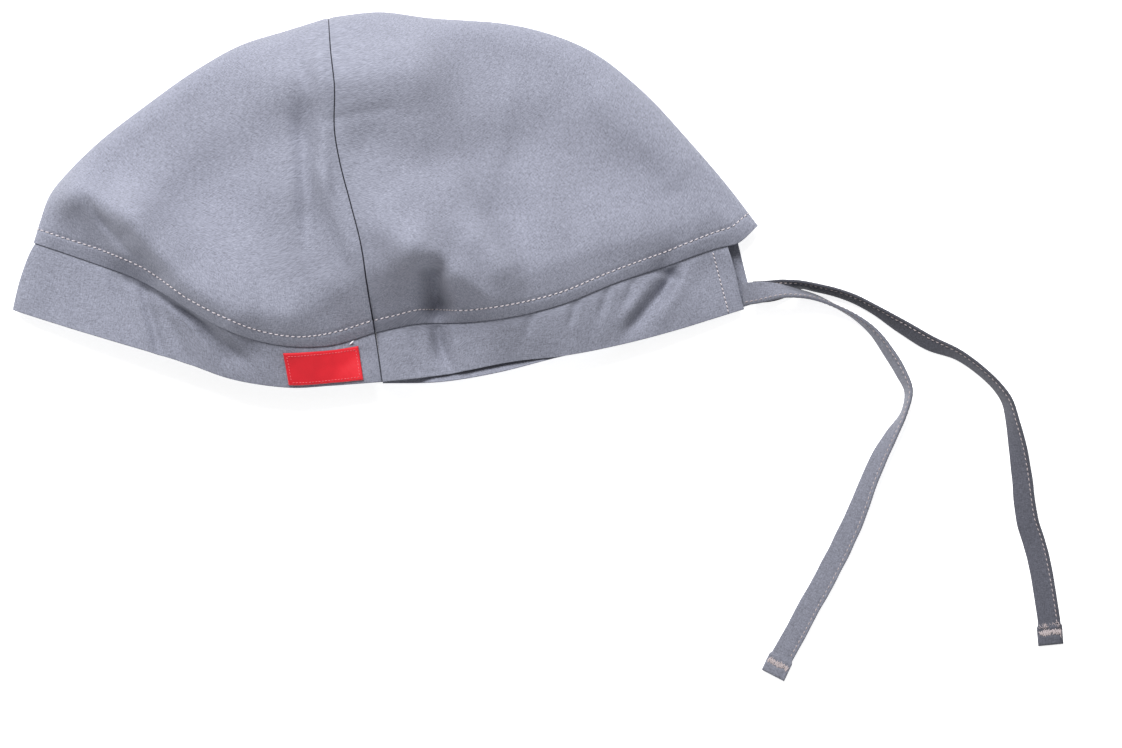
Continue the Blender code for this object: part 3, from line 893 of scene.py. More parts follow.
@dataclass(frozen=True)
class Stitching:
    """Stitches along a path, as arcs of thread that dive into the cloth, with dark beads of painted shade in the
    dimples between.
    """

    pitch: float = 2.2 * MM
    length: float = 1.5 * MM
    radius: float = 0.24 * MM
    slant: float = 0.22 * MM
    sink: float = 0.12 * MM
    rings: int = 7
    sides: int = 7
    lead: float = 0.3
    hole_early: float = 0.02
    uneven: float = 0.05

    def holes(self, name: str, path: Array, outward: Array, seed: int) -> bpy.types.Object:
        """Makes dark flat beads in the dimples between the stitches that build makes: painted shade.

        Args:
            name: The object's name.
            path: Points along the line of stitches.
            outward: Unit normals of the cloth at those points.
            seed: Seed of the small unevenness.

        Returns:
            The new object.
        """
        first = self.length + (self.pitch * self.lead - self.pitch * self.hole_early)
        beads = replace(
            self, length=self.pitch - self.length, radius=self.radius * 0.8, slant=0.0, rings=3, sides=5
        )
        return beads.build(name, path, outward, seed, first=first)

    def build(
        self, name: str, path: Array, outward: Array, seed: int, parts: int = 1, first: float | None = None
    ) -> bpy.types.Object:
        """Makes the stitches as one mesh: centre = path + bow * outward + slant * sideways, ring by ring.

        Args:
            name: The object's name.
            path: Points along the line of stitches, or several lines of equal count.
            outward: Unit normals of the cloth at those points.
            seed: Seed of the small unevenness.
            parts: How many lines the path holds.
            first: Where the first one starts, or a share of the pitch where none is given.

        Returns:
            The new object.
        """
        first = self.pitch * self.lead if first is None else first
        arcs, ups = [], []
        rng = np.random.default_rng(seed)
        t = np.linspace(0, 1, self.rings)
        bow = self.radius * 0.9 * np.sin(np.pi * t) ** 0.6 - self.sink * (1 - np.sin(np.pi * t))
        for line, up in zip(np.split(path, parts), np.split(outward, parts)):
            at = run_lengths(line, 0)
            starts = np.arange(first, at[-1] - self.length, self.pitch)
            starts = starts + rng.uniform(-self.uneven, self.uneven, len(starts)) * self.pitch
            spans = self.length * rng.uniform(0.9, 1.08, len(starts))
            s = starts[:, None] + t * spans[:, None]
            centre, normal = at_lengths(s, at, line), unit(at_lengths(s, at, up))
            sideways = unit(np.cross(normal, unit(centre[:, -1:] - centre[:, :1])))
            lean = self.slant * rng.uniform(0.6, 1.4, (len(starts), 1)) * (t - 0.5)
            arcs.append(centre + bow[:, None] * normal + lean[..., None] * sideways)
            ups.append(normal)
        return self.tubes(name, np.concatenate(arcs), np.concatenate(ups))

    def tubes(self, name: str, arcs: Array, ups: Array) -> bpy.types.Object:
        """Makes closed round threads round centre lines: centre + radius * (cos * side + sin * top).

        Args:
            name: The object's name.
            arcs: Centre points, one row for each thread.
            ups: Unit normals at those points.

        Returns:
            The new object.
        """
        threads, rings = arcs.shape[:2]
        ahead = unit(np.gradient(arcs, axis=1))
        side = unit(np.cross(ups, ahead))
        top = np.cross(ahead, side)
        radius = self.radius * np.clip(np.sin(np.pi * np.linspace(0, 1, rings)), 0.02, 1) ** 0.35
        turn = np.linspace(0, 2 * np.pi, self.sides, endpoint=False)[:, None]
        around = np.cos(turn) * side[:, :, None] + np.sin(turn) * top[:, :, None]
        points = (arcs[:, :, None] + radius[:, None, None] * around).reshape(-1, 3)
        index = np.arange(len(points)).reshape(threads, rings, self.sides)
        after = np.roll(index, -1, axis=2)
        quads = np.stack([index[:, :-1], after[:, :-1], after[:, 1:], index[:, 1:]], axis=-1).reshape(-1, 4)
        tips = len(points) + np.arange(2 * threads).reshape(2, threads, 1) + np.zeros(self.sides, int)
        near = np.stack([tips[0], after[:, 0], index[:, 0]], axis=-1)
        far = np.stack([tips[1], index[:, -1], after[:, -1]], axis=-1)
        caps = np.concatenate([near, far]).reshape(-1, 3)
        points = np.concatenate([points, arcs[:, 0], arcs[:, -1]])
        return make_mesh(name, points, np.concatenate([halved(quads), caps]))


class Number:
    """A node's number socket that takes Python's operators, each of which adds a Math node."""

    def __init__(self, graph: "Graph", socket: bpy.types.NodeSocket) -> None:
        """Keeps the graph and the socket."""
        self.graph = graph
        self.socket = socket

    def __add__(self, other: "Number | float") -> "Number":
        """Sum."""
        return self.graph.math("ADD", self, other)

    def __radd__(self, other: float) -> "Number":
        """Sum with a plain number on the left."""
        return self.graph.math("ADD", other, self)

    def __sub__(self, other: "Number | float") -> "Number":
        """Difference."""
        return self.graph.math("SUBTRACT", self, other)

    def __rsub__(self, other: float) -> "Number":
        """Difference with a plain number on the left."""
        return self.graph.math("SUBTRACT", other, self)

    def __mul__(self, other: "Number | float") -> "Number":
        """Product."""
        return self.graph.math("MULTIPLY", self, other)

    def __rmul__(self, other: float) -> "Number":
        """Product with a plain number on the left."""
        return self.graph.math("MULTIPLY", other, self)

    def __truediv__(self, other: "Number | float") -> "Number":
        """Quotient."""
        return self.graph.math("DIVIDE", self, other)

    def clipped(self) -> "Number":
        """Kept between 0 and 1."""
        return self.graph.math("MINIMUM", self.graph.math("MAXIMUM", self, 0.0), 1.0)

    def wave(self) -> "Number":
        """Sine, moved to run from 0 to 1."""
        return 0.5 + 0.5 * self.graph.math("SINE", self)


class Graph:
    """A material's nodes, made from Python values."""

    def __init__(self, name: str) -> None:
        """Makes an empty material with one Principled shader."""
        self.material = bpy.data.materials.new(name)
        self.material.use_nodes = True
        self.tree = self.material.node_tree
        self.shader = self.tree.nodes["Principled BSDF"]

    def node(self, kind: str, settings: dict[str, object], sockets: dict[str | int, object]) -> bpy.types.Node:
        """Adds a node, sets its options, then its sockets.

        Args:
            kind: The node's type.
            settings: Options, set first.
            sockets: Values or links, by the socket's name or number.

        Returns:
            The node.
        """
        made = self.tree.nodes.new(kind)
        for key, value in settings.items():
            setattr(made, key, value)
        for key, value in sockets.items():
            self.connect(made.inputs[key], value)
        return made

    def connect(self, socket: bpy.types.NodeSocket, value: object) -> None:
        """Links a socket to a number or another socket, or sets its value.

        Args:
            socket: The socket to feed.
            value: A number of this graph, a link, a colour or a plain value.
        """
        if isinstance(value, Number):
            self.tree.links.new(value.socket, socket)
        elif isinstance(value, bpy.types.NodeSocket):
            self.tree.links.new(value, socket)
        elif isinstance(value, tuple) and socket.type == "RGBA":
            socket.default_value = (*value, 1.0)
        else:
            socket.default_value = value

    def math(self, operation: str, *values: Number | float) -> Number:
        """Adds a Math node on the values and gives its output."""
        made = self.node("ShaderNodeMath", {"operation": operation}, dict(enumerate(values)))
        return Number(self, made.outputs[0])

    def scaled(self, vector: object, factor: Number | float) -> bpy.types.NodeSocket:
        """A colour or place times a number."""
        sockets = {0: vector, "Scale": factor}
        return self.node("ShaderNodeVectorMath", {"operation": "SCALE"}, sockets).outputs[0]

    def stretched(self, place: bpy.types.NodeSocket, scale: tuple[float, float, float]) -> bpy.types.NodeSocket:
        """The place with each direction scaled by its own factor."""
        return self.node("ShaderNodeVectorMath", {"operation": "MULTIPLY"}, {0: place, 1: scale}).outputs[0]

    def own_place(self) -> bpy.types.NodeSocket:
        """Places on the object, in metres."""
        return self.node("ShaderNodeTexCoord", {}, {}).outputs["Object"]

    def cloth_place(self) -> tuple[Number, Number, bpy.types.NodeSocket]:
        """Places on the cloth in millimetres, from its own map.

        Returns:
            The place across, the place along, and both as a vector.
        """
        uv = self.node("ShaderNodeUVMap", {"uv_map": "cloth"}, {}).outputs[0]
        place = self.scaled(uv, 1 / MM)
        parts = self.node("ShaderNodeSeparateXYZ", {}, {0: place})
        return Number(self, parts.outputs[0]), Number(self, parts.outputs[1]), place

    def noise(self, place: bpy.types.NodeSocket, scale: float, detail: float = 2.0) -> Number:
        """Cloudy noise about 0: clouds to the place's unit, with finer layers added."""
        sockets = {"Vector": place, "Scale": scale, "Detail": detail, "Roughness": 0.55}
        return Number(self, self.node("ShaderNodeTexNoise", {}, sockets).outputs[0]) - 0.5

    def paint(self, colour: Colour, shade: Number) -> None:
        """Feeds the colour times a shade to the shader."""
        self.connect(self.shader.inputs["Base Color"], self.scaled(colour, shade))

    def roughen(self, roughness: Number) -> None:
        """Feeds a roughness to the shader, kept between 0 and 1."""
        self.connect(self.shader.inputs["Roughness"], roughness.clipped())

    def bump(self, height: Number, strength: float) -> None:
        """Feeds a height in millimetres to the shader's normal."""
        made = self.node("ShaderNodeBump", {}, {"Height": height, "Strength": strength, "Distance": MM})
        self.connect(self.shader.inputs["Normal"], made.outputs[0])

    def constants(self, **values: float | Colour) -> None:
        """Sets the shader's own sockets, their names written with _ for a space."""
        for name, value in values.items():
            self.connect(self.shader.inputs[name.replace("_", " ")], value)


@dataclass(frozen=True)
class WovenCloth:
    """A plain-woven cotton: fine threads, slubs along them, soft mottling and a faint bloom of fibres."""

    name: str
    colour: Colour
    pitch: float = 0.55
    edge: float = 0.0
    mottle: float = 0.95
    slub: float = 0.75
    weave: float = 0.08
    roughness: float = 0.9
    specks: float = 1.6
    clouds: float = 0.12
    slub_long: float = 0.5
    slub_short: float = 2.0
    painted_edge_shade: float = 0.25
    edge_ease: float = 0.5

    def make(self) -> bpy.types.Material:
        """Makes the material.

        Thread height = a sine across times a sine along. Brightness = 1 + mottle + slubs + weave, each about 0.
        A tie gets painted shade beyond its stitches, along its folded edge, where edge is given as their place
        across in millimetres.

        Returns:
            The material.
        """
        graph = Graph(self.name)
        across, along, place = graph.cloth_place()
        turn = 2 * math.pi / self.pitch
        warp, weft = (across * turn).wave(), (along * turn).wave()
        threads = warp * weft + (1 - warp) * (1 - weft)
        slub = graph.noise(graph.stretched(place, (self.slub_long, self.slub_short, 1.0)), 1.0)
        cross_slub = graph.noise(graph.stretched(place, (self.slub_short, self.slub_long, 1.0)), 1.0)
        fine, wide = graph.noise(place, self.specks), graph.noise(place, self.clouds)
        shade = 1 + self.slub * (slub + cross_slub) + self.mottle * (fine + 0.2 * wide)
        shade = shade + self.weave * (threads - 0.5)
        # painted shade: the strip beyond a tie's stitches, along its folded edge, is darkened
        if self.edge:
            beyond = across * math.copysign(1.0, self.edge) - abs(self.edge)
            shade = shade * (1 - self.painted_edge_shade * (beyond / self.edge_ease).clipped())
        graph.paint(self.colour, shade)
        graph.roughen(self.roughness + 0.1 * (fine + 0.3 * slub))
        graph.bump(threads * 0.05 + 0.09 * fine + 0.05 * (slub + cross_slub), 0.6)
        graph.constants(Sheen_Weight=0.12, Sheen_Roughness=0.5, Specular_IOR_Level=0.25)
        return graph.material


@dataclass(frozen=True)
class Thread:
    """Spun sewing thread, uneven in tone and roughness along its length."""

    name: str
    colour: Colour
    specks: float = 1800.0

    def make(self) -> bpy.types.Material:
        """Makes the material: brightness = 1 + 0.3 * noise, and roughness = 0.7 + 0.2 * noise.

        Returns:
            The material.
        """
        graph = Graph(self.name)
        spots = graph.noise(graph.own_place(), self.specks, 1.0)
        graph.paint(self.colour, 1 + 0.3 * spots)
        graph.roughen(0.7 + 0.2 * spots)
        graph.constants(Sheen_Weight=0.1, Sheen_Roughness=0.5, Specular_IOR_Level=0.3)
        return graph.material


@dataclass(frozen=True)
class WovenPatch:
    """A bare red woven patch, with fine ribs across it and finer threads along it."""

    name: str
    colour: Colour
    rib: float = 0.42
    pitch: float = 0.34
    specks: float = 2.2
    clouds: float = 0.25

    def make(self) -> bpy.types.Material:
        """Makes the material: ribs are a sine along the patch, threads one across it, broken up by noise.

        Returns:
            The material.
        """
        graph = Graph(self.name)
        across, along, place = graph.cloth_place()
        ribs = (along * (2 * math.pi / self.rib)).wave()
        threads = (across * (2 * math.pi / self.pitch)).wave()
        fine, wide = graph.noise(place, self.specks), graph.noise(place, self.clouds)
        graph.paint(self.colour, 1 + 0.10 * (ribs - 0.5) + 0.05 * (threads - 0.5) + 0.16 * fine + 0.12 * wide)
        graph.roughen(0.6 + 0.2 * fine)
        graph.bump(ribs * 0.05 + threads * 0.03 + 0.04 * fine, 0.5)
        graph.constants(Sheen_Weight=0.15, Sheen_Roughness=0.4, Specular_IOR_Level=0.35)
        return graph.material


@dataclass(frozen=True)
class PaleFloor:
    """A plain matt white surface with a faint glow."""

    name: str
    colour: Colour
    clouds: float = 6.0
    glow: float = 0.7

    def make(self) -> bpy.types.Material:
        """Makes the material: brightness = 1 + 0.01 * noise.

        Returns:
            The material.
        """
        graph = Graph(self.name)
        graph.paint(self.colour, 1 + 0.01 * graph.noise(graph.own_place(), self.clouds))
        graph.constants(Roughness=0.9, Specular_IOR_Level=0.2)
        graph.constants(Emission_Color=(1.0, 1.0, 1.0), Emission_Strength=self.glow)
        return graph.material


@dataclass
class Finishes:
    """Every material, made once."""

    crown: bpy.types.Material
    band: bpy.types.Material
    tie_near: bpy.types.Material
    tie_far: bpy.types.Material
    patch: bpy.types.Material
    thread: bpy.types.Material
    tie_thread: bpy.types.Material
    hole: bpy.types.Material
    loose: bpy.types.Material
    patch_thread: bpy.types.Material
    floor: bpy.types.Material

    @classmethod
    def mixed(cls) -> "Finishes":
        """Makes the materials.

        Returns:
            One of each.
        """
        return cls(
            crown=WovenCloth("crown_cotton", (0.234, 0.243, 0.299)).make(),
            band=WovenCloth("band_cotton", (0.206, 0.214, 0.263)).make(),
            # edge sets where the painted shade along each tie's folded edge begins
            tie_near=WovenCloth("near_tie_cotton", (0.155, 0.16, 0.195), pitch=0.7, edge=-2.9).make(),
            # the far tie is the near tie's cloth, given a darker colour as painted shade
            tie_far=WovenCloth("far_tie_cotton_painted_shade", (0.078, 0.08, 0.1), pitch=0.7, edge=2.9).make(),
            patch=WovenPatch("red_patch", (0.60, 0.009, 0.02)).make(),
            thread=Thread("pinkish_thread", (0.55, 0.505, 0.525)).make(),
            tie_thread=Thread("beige_thread", (0.37, 0.32, 0.325)).make(),
            loose=Thread("white_thread", (0.8, 0.79, 0.82)).make(),
            # dark thread for the beads of painted shade in the dimples between stitches
            hole=Thread("painted_shade_thread", (0.07, 0.066, 0.08)).make(),
            patch_thread=Thread("pale_red_thread", (0.70, 0.12, 0.14)).make(),
            floor=PaleFloor("white_floor", (0.9, 0.9, 0.9)).make(),
        )


@dataclass
class Gore:
    """One of the crown's four pieces, with the topstitch above its hem."""

    part: Part
    half: Half
    form: CapForm
    rows: int = 170
    columns: int = 190
    near_columns: int = 26
    near_reach: float = 13.0 * MM
    top: float = 0.003
    hem_from: float = 0.88
    upper_rows: float = 0.7
    hem_rows: float = 0.3
    under_sink: float = 0.16 * MM

    def shares(self) -> tuple[Array, Array]:
        """The grid's shares: across closes up at the rolled edge, and down closes up at the hem.

        Returns:
            Across and down, as grids.
        """
        length = self.form.hem[self.part].length
        near = (np.arange(1, self.near_columns) / self.near_columns) ** 2 * self.near_reach / length
        across = np.linspace(self.near_reach / length, 1, self.columns - self.near_columns)
        across = np.concatenate([[0.0], near, across, 1 - EDGE_STEPS / length])
        upper = np.linspace(self.top, self.hem_from, int(self.rows * self.upper_rows))
        lower = np.linspace(self.hem_from, 1, int(self.rows * self.hem_rows))
        down = np.concatenate([upper, lower, 1 - np.array([0.03, 0.08, 0.18]) * MM / (100 * MM)])
        grids = np.meshgrid(np.unique(across), np.unique(down))
        return grids[0], grids[1]

    def face(self) -> tuple[Array, Array, Array]:
        """The outer face, half a seam gap short of the side seam.

        Returns:
            Points, across and down.
        """
        across, down = self.shares()
        ends = self.form.side.place(down) - self.form.centre[self.part].place(down)
        across = across * (1 - self.form.gap_beside(self.half) / 2 / np.linalg.norm(ends, axis=-1))
        return self.form.crown(self.part, self.half, across, down), across, down

    def topstitch(self, face: Array, across: Array, down: Array, outward: Array) -> tuple[Array, Array]:
        """The line of stitches: in each column, where the distance above the hem equals the hem's width.

        Args:
            face: Points on the outer face.
            across: Shares across.
            down: Shares down.
            outward: Unit normals of the face.

        Returns:
            Points and unit normals along the line.
        """
        above = self.form.hem_distance(face[..., :2], down) - self.form.hem_width(self.part, across)
        row = len(above) - 1 - np.argmax(above[::-1] > 0, axis=0)
        after = np.minimum(row + 1, len(above) - 1)
        column = np.arange(above.shape[1])
        high, low = above[row, column], above[after, column]
        t = np.clip(high / np.maximum(high - low, 1e-9), 0, 1)[:, None]
        points = face[row, column] * (1 - t) + face[after, column] * t
        return points, unit(outward[row, column] * (1 - t) + outward[after, column] * t)

    def build(self, finishes: Finishes) -> None:
        """Builds the gore and its stitches, and dresses them.

        Args:
            finishes: The materials.
        """
        name = f"crown_{self.part.value}_{self.half.value}"
        face, across, down = self.face()
        ClothWall(name, Slot.CROWN, "band_front", self.form.cloth).lay(face, self.half.up, finishes.crown)
        line, normal = self.topstitch(face, across, down, facing(face, self.half.up))
        line -= (self.under_sink if self.half is Half.RIGHT else 0.0) * normal
        seed = 11 + 2 * list(Part).index(self.part) + list(Half).index(self.half)
        dress(Stitching().build(f"{name}_topstitch", line, normal, seed), finishes.thread)
        # dark beads of painted shade in the dimples between the stitches
        dress(Stitching().holes(f"{name}_needle_holes", line, normal, seed), finishes.hole)


@dataclass
class Band:
    """The band's three pieces."""

    form: CapForm
    rows: int = 44
    columns: int = 200
    under_columns: int = 90
    tucked_rows: int = 9
    overlap: float = 0.042
    end_stitch_in: float = 6.2 * MM

    def shares(self, part: Part, half: Half) -> tuple[Array, Array]:
        """Shares along the band, and down it from under the crown's hem to the mouth.

        Args:
            part: Front or rear.
            half: Left or right.

        Returns:
            Share and down, as grids.
        """
        length = self.form.mouth[part, half].length
        count = self.columns if half is Half.LEFT else self.under_columns
        near = (np.arange(1, 16) / 16) ** 2 * 13 * MM / length
        share = np.linspace(13 * MM / length, 1, count)
        share = np.unique(np.concatenate([[0.0], near, share, 1 - EDGE_STEPS / length]))
        down = np.concatenate([np.linspace(-self.overlap, 0, self.tucked_rows), np.linspace(0, 1, self.rows)])
        down = np.concatenate([down, 1 - np.array([0.04, 0.12, 0.25, 0.4]) * MM / (18 * MM)])
        grids = np.meshgrid(share * (1 - self.form.gap_beside(half) / 2 / length), np.unique(down))
        return grids[0], grids[1]

    def front(self, finishes: Finishes) -> None:
        """Builds the front strip, from the left side seam round the fold to the right side seam.

        Args:
            finishes: The materials.
        """
        left_share, left_down = self.shares(Part.FRONT, Half.LEFT)
        right_share, right_down = self.shares(Part.FRONT, Half.RIGHT)
        left = self.form.band(Part.FRONT, Half.LEFT, left_share[:, ::-1], left_down)
        right = self.form.band(Part.FRONT, Half.RIGHT, right_share[:, 1:], right_down[:, 1:])
        form = np.concatenate([left, right], axis=1)
        down = np.concatenate([left_down, right_down[:, 1:]], axis=1)
        outward = grid_normals(form)
        outward *= np.sign(outward[0, 0, 2])
        wall = ClothWall("band_front", Slot.BAND, "crown_front_right", self.form.cloth)
        wall.lay(self.form.tucked_in(form, down, outward), outward[0, 0], finishes.band)

    def rear(self, half: Half, finishes: Finishes) -> None:
        """Builds a rear part, with the stitches of its hemmed end.

        Args:
            half: Left or right.
            finishes: The materials.
        """
        name = f"band_rear_{half.value}"
        share, down = self.shares(Part.REAR, half)
        form = self.form.band(Part.REAR, half, share, down)
        outward = facing(form, half.up)
        face = self.form.tucked_in(form, down, outward)
        ClothWall(name, Slot.BAND, "crown_front_right", self.form.cloth).lay(face, half.up, finishes.band)
        place = self.end_stitch_in / self.form.mouth[Part.REAR, half].length
        column = int(np.argmin(abs(share[0] - place)))
        shown = down[:, 0] > 0
        line, normal = face[shown, column], outward[shown, column]
        maker = Stitching(pitch=1.75 * MM, length=1.25 * MM)
        dress(maker.build(f"{name}_end_stitch", line, normal, 31), finishes.thread)
        # dark beads of painted shade in the dimples between the stitches
        dress(maker.holes(f"{name}_end_holes", line, normal, 31), finishes.hole)

    def build(self, finishes: Finishes) -> None:
        """Builds the band's pieces.

        Args:
            finishes: The materials.
        """
        self.front(finishes)
        for half in Half:
            self.rear(half, finishes)


@dataclass
class Patch:
    """The small red patch on the band's left side, sewn on by a dashed border and left bare."""

    form: CapForm
    across: tuple[float, float] = (0.7445, 0.9495)
    slant: tuple[float, float] = (0.0115, 0.0025)
    down: tuple[float, float] = (0.155, 0.92)
    sag: float = 0.06
    thickness: float = 0.8 * MM
    gap: float = 0.3 * MM
    border: float = 1.2 * MM
    rows: int = 44
    columns: int = 90
    thread_radius: float = 0.3 * MM
    thread_lift: float = 0.2 * MM
    thread_curl: float = 0.5 * MM

    def build(self, finishes: Finishes) -> None:
        """Builds the patch and its border stitches, and dresses them.

        Args:
            finishes: The materials.
        """
        u, v = np.meshgrid(np.linspace(0, 1, self.columns), np.linspace(0, 1, self.rows))
        left, right = [start + v * slant for start, slant in zip(self.across, self.slant)]
        down = self.down[0] + (self.down[1] - self.down[0]) * v - self.sag * 4 * u * (1 - u) * (1 - v)
        form = self.form.band(Part.FRONT, Half.LEFT, left + (right - left) * u, down)
        outward = facing(form, Half.LEFT.up)
        face = self.form.tucked_in(form, down, outward) + (self.gap + self.thickness) * outward
        wall = ClothWall("label", Slot.LABEL, "band_front", self.thickness, held="laid")
        cut = wall.lay(face, Half.LEFT.up, finishes.patch)
        i = int(round(self.border / cut.length * (self.rows - 1)))
        j = int(round(self.border / cut.width * (self.columns - 1)))
        sides = [np.s_[i, j:-j], np.s_[-1 - i, j:-j], np.s_[i:-i, j], np.s_[i:-i, -1 - j]]
        maker = Stitching(pitch=1.25 * MM, length=0.85 * MM, radius=0.13 * MM, slant=0.05 * MM, sink=0.08 * MM)
        for k, side in enumerate(sides):
            dress(maker.build(f"label_border_{k + 1}", face[side], outward[side], 41 + k), finishes.patch_thread)
        self.thread_end(finishes)

    def thread_end(self, finishes: Finishes) -> None:
        """Lays the loose end of white thread between the patch and the crown's hem.

        Args:
            finishes: The materials.
        """
        maker = Stitching(radius=self.thread_radius, sink=0.0)
        t = np.linspace(0, 1, maker.rings)[None]
        line = self.form.band(Part.FRONT, Half.LEFT, 0.926 + 0.012 * t, 0.075 - 0.055 * t)
        arc = line + self.thread_lift * Half.LEFT.up + self.thread_curl * Half.LEFT.up * t[..., None] ** 2
        dress(maker.tubes("label_thread_end", arc, np.zeros_like(arc) + Half.LEFT.up), finishes.loose)


@dataclass
class Tie:
    """A flat folded tie, stitched along one edge, with a bar tack across its folded end."""

    name: str
    rows: Sequence[TiePoint]
    stitched: int
    exit: tuple[float, float, float]
    width: float = 8.7 * MM
    thickness: float = 1.2 * MM
    floor_gap: float = 0.3 * MM
    sections: int = 420
    across: int = 23
    end_round: float = 0.7
    end_least: float = 0.25
    edge_waver: float = 0.12 * MM
    swell: float = 0.1 * MM
    stitch_in: float = 1.3 * MM
    groove: float = 0.2 * MM
    groove_reach: float = 0.55 * MM
    beat: float = 0.05 * MM
    beat_pitch: float = 2.2 * MM
    block: float = 7.6 * MM
    block_wider: float = 0.13
    block_thicker: float = 0.7
    tack_in: float = 4.9 * MM
    tack_half: float = 1.15 * MM
    tack_dent: float = 0.35 * MM
    tack_threads: int = 34
    frays: int = 26

    @cached_property
    def route(self) -> tuple[Array, Array, Array, Array]:
        """The route in space, which rests on its lower edge wherever it isn't lifted.

        Returns:
            Middle points, the direction across, the direction off the face, and the distance along.
        """
        x, y, lift, tilt = Line(self.rows).place(np.linspace(0, 1, self.sections)).T
        turn = np.radians(tilt)
        rest = self.width / 2 * abs(np.sin(turn)) + self.thickness / 2 * abs(np.cos(turn))
        middle = np.stack([x, y, self.floor_gap + rest + lift * MM], axis=-1)
        ahead = unit(np.gradient(middle, axis=0))
        left = unit(np.cross([0, 0, 1.0], ahead))
        top = np.cross(ahead, left)
        cos, sin = np.cos(turn)[:, None], np.sin(turn)[:, None]
        return middle, cos * left + sin * top, cos * top - sin * left, run_lengths(middle, 0)

    @property
    def length(self) -> float:
        """The length of its middle line."""
        return float(self.route[3][-1])

    @property
    def stitch_place(self) -> float:
        """The stitches' place across, as a share of the half width."""
        return self.stitched * (1 - self.stitch_in / (self.width / 2))

    def on_block(self, along: Array) -> Array:
        """0 before the folded end and 1 on it, with an ease over its cut edge."""
        start = self.length - self.block
        return eased(along, start - 0.5 * MM, start + 0.4 * MM)

    def ended(self, along: Array) -> Array:
        """Rounding of the two ends, on a quarter circle down to the least share of the thickness."""
        rim = np.minimum(along, self.length - along)
        return self.end_least + (1 - self.end_least) * rolled(rim, self.thickness * self.end_round)

    def face_height(self, place: Array, along: Array) -> Array:
        """Half thickness: a half circle at each edge, a soft swell between and a groove at the stitches.

        The folded end is thicker, with a dent of exp(-(distance / 1.1 half tack)^4) under its tack.

        Args:
            place: Place across, as a share of the half width.
            along: Distance along.

        Returns:
            Height off the middle plane.
        """
        shown = rolled((1 - abs(place)) * self.width / 2, self.thickness / 2)
        beside = place - self.stitch_place
        swell = self.swell * np.cos(np.pi / 2 * place)
        groove = self.groove * bell(beside * self.width / 2, self.groove_reach)
        beat = self.beat * np.sin(2 * np.pi * along / self.beat_pitch) * np.exp(-((beside * 3) ** 2))
        thick = 1 + self.block_thicker * self.on_block(along)
        off_tack = (along - (self.length - self.tack_in)) / (self.tack_half * 1.1)
        dent = self.tack_dent * np.exp(-(off_tack**4))
        whole = (self.thickness / 2 * shown + (swell - groove + beat) * shown) * thick - dent * shown
        return whole * self.ended(along)

    def mesh(self) -> bpy.types.Object:
        """Builds the strip as one closed tube, its section carried along the route.

        Returns:
            The object.
        """
        middle, side, face, along = self.route
        edge = np.sin(np.linspace(-np.pi / 2, np.pi / 2, self.across))
        s, p = np.meshgrid(along, edge, indexing="ij")
        waver = self.edge_waver * soft_noise(np.stack([s, np.full_like(s, 0.3)], axis=-1), 6 * MM, 17)
        wide = 1 + self.block_wider * self.on_block(s)
        lateral = (p * self.width / 2 * wide + waver)[..., None] * side[:, None]
        height = self.face_height(p, s)[..., None] * face[:, None]
        top = middle[:, None] + lateral + height
        bottom = (middle[:, None] + lateral - height)[:, 1:-1][:, ::-1]
        ring = np.concatenate([top, bottom], axis=1)
        count, n = ring.shape[1], self.across
        index = np.arange(ring.shape[0] * count).reshape(-1, count)
        after = np.roll(index, -1, axis=1)
        sides = np.stack([index[:-1], index[1:], after[1:], after[:-1]], axis=-1).reshape(-1, 4)
        upper, lower = np.arange(n), np.concatenate([[0], np.arange(count - 1, n - 1, -1), [n - 1]])
        start = np.stack([upper[:-1], upper[1:], lower[1:], lower[:-1]], axis=-1)
        split = halved(np.concatenate([sides, start, start[:, ::-1] + index[-1, 0]]))
        real = (split[:, 0] != split[:, 1]) & (split[:, 1] != split[:, 2]) & (split[:, 0] != split[:, 2])
        across = np.concatenate([edge, edge[1:-1][::-1] + 3.0]) * self.width / 2
        uv = np.stack(np.broadcast_arrays(across[None, :], along[:, None]), axis=-1).reshape(-1, 2)
        return make_mesh(f"{self.name}_strip", ring.reshape(-1, 3), split[real], uv)

    def stitches(self) -> bpy.types.Object:
        """Builds the stitches beside the edge, on both faces.

        Returns:
            The object.
        """
        middle, side, face, along = self.route
        shown = along < self.length - self.block
        height = self.face_height(np.full_like(along, self.stitch_place), along)[:, None] * face
        line = middle + self.stitch_place * self.width / 2 * side
        path = np.concatenate([(line + height)[shown], (line - height)[shown]])
        maker = Stitching(pitch=2.0 * MM, length=1.4 * MM, radius=0.2 * MM)
        return maker.build(f"{self.name}_stitches", path, np.concatenate([face[shown], -face[shown]]), 51, 2)

    def laid(self, place: Array, along: Array, off: Array, sign: int) -> tuple[Array, Array]:
        """Points that lie on the strip.

        Args:
            place: Places across, as shares of the half width.
            along: Distances along.
            off: Heights over the face.
            sign: 1 for the upper face, -1 for the lower.

        Returns:
            The points and the unit normals there.
        """
        base, across, normal = [at_lengths(along, self.route[3], row) for row in self.route[:3]]
        normal = unit(normal) * sign
        height = self.face_height(np.clip(place, -1, 1), along) + off
        return base + (place * self.width / 2)[..., None] * unit(across) + height[..., None] * normal, normal

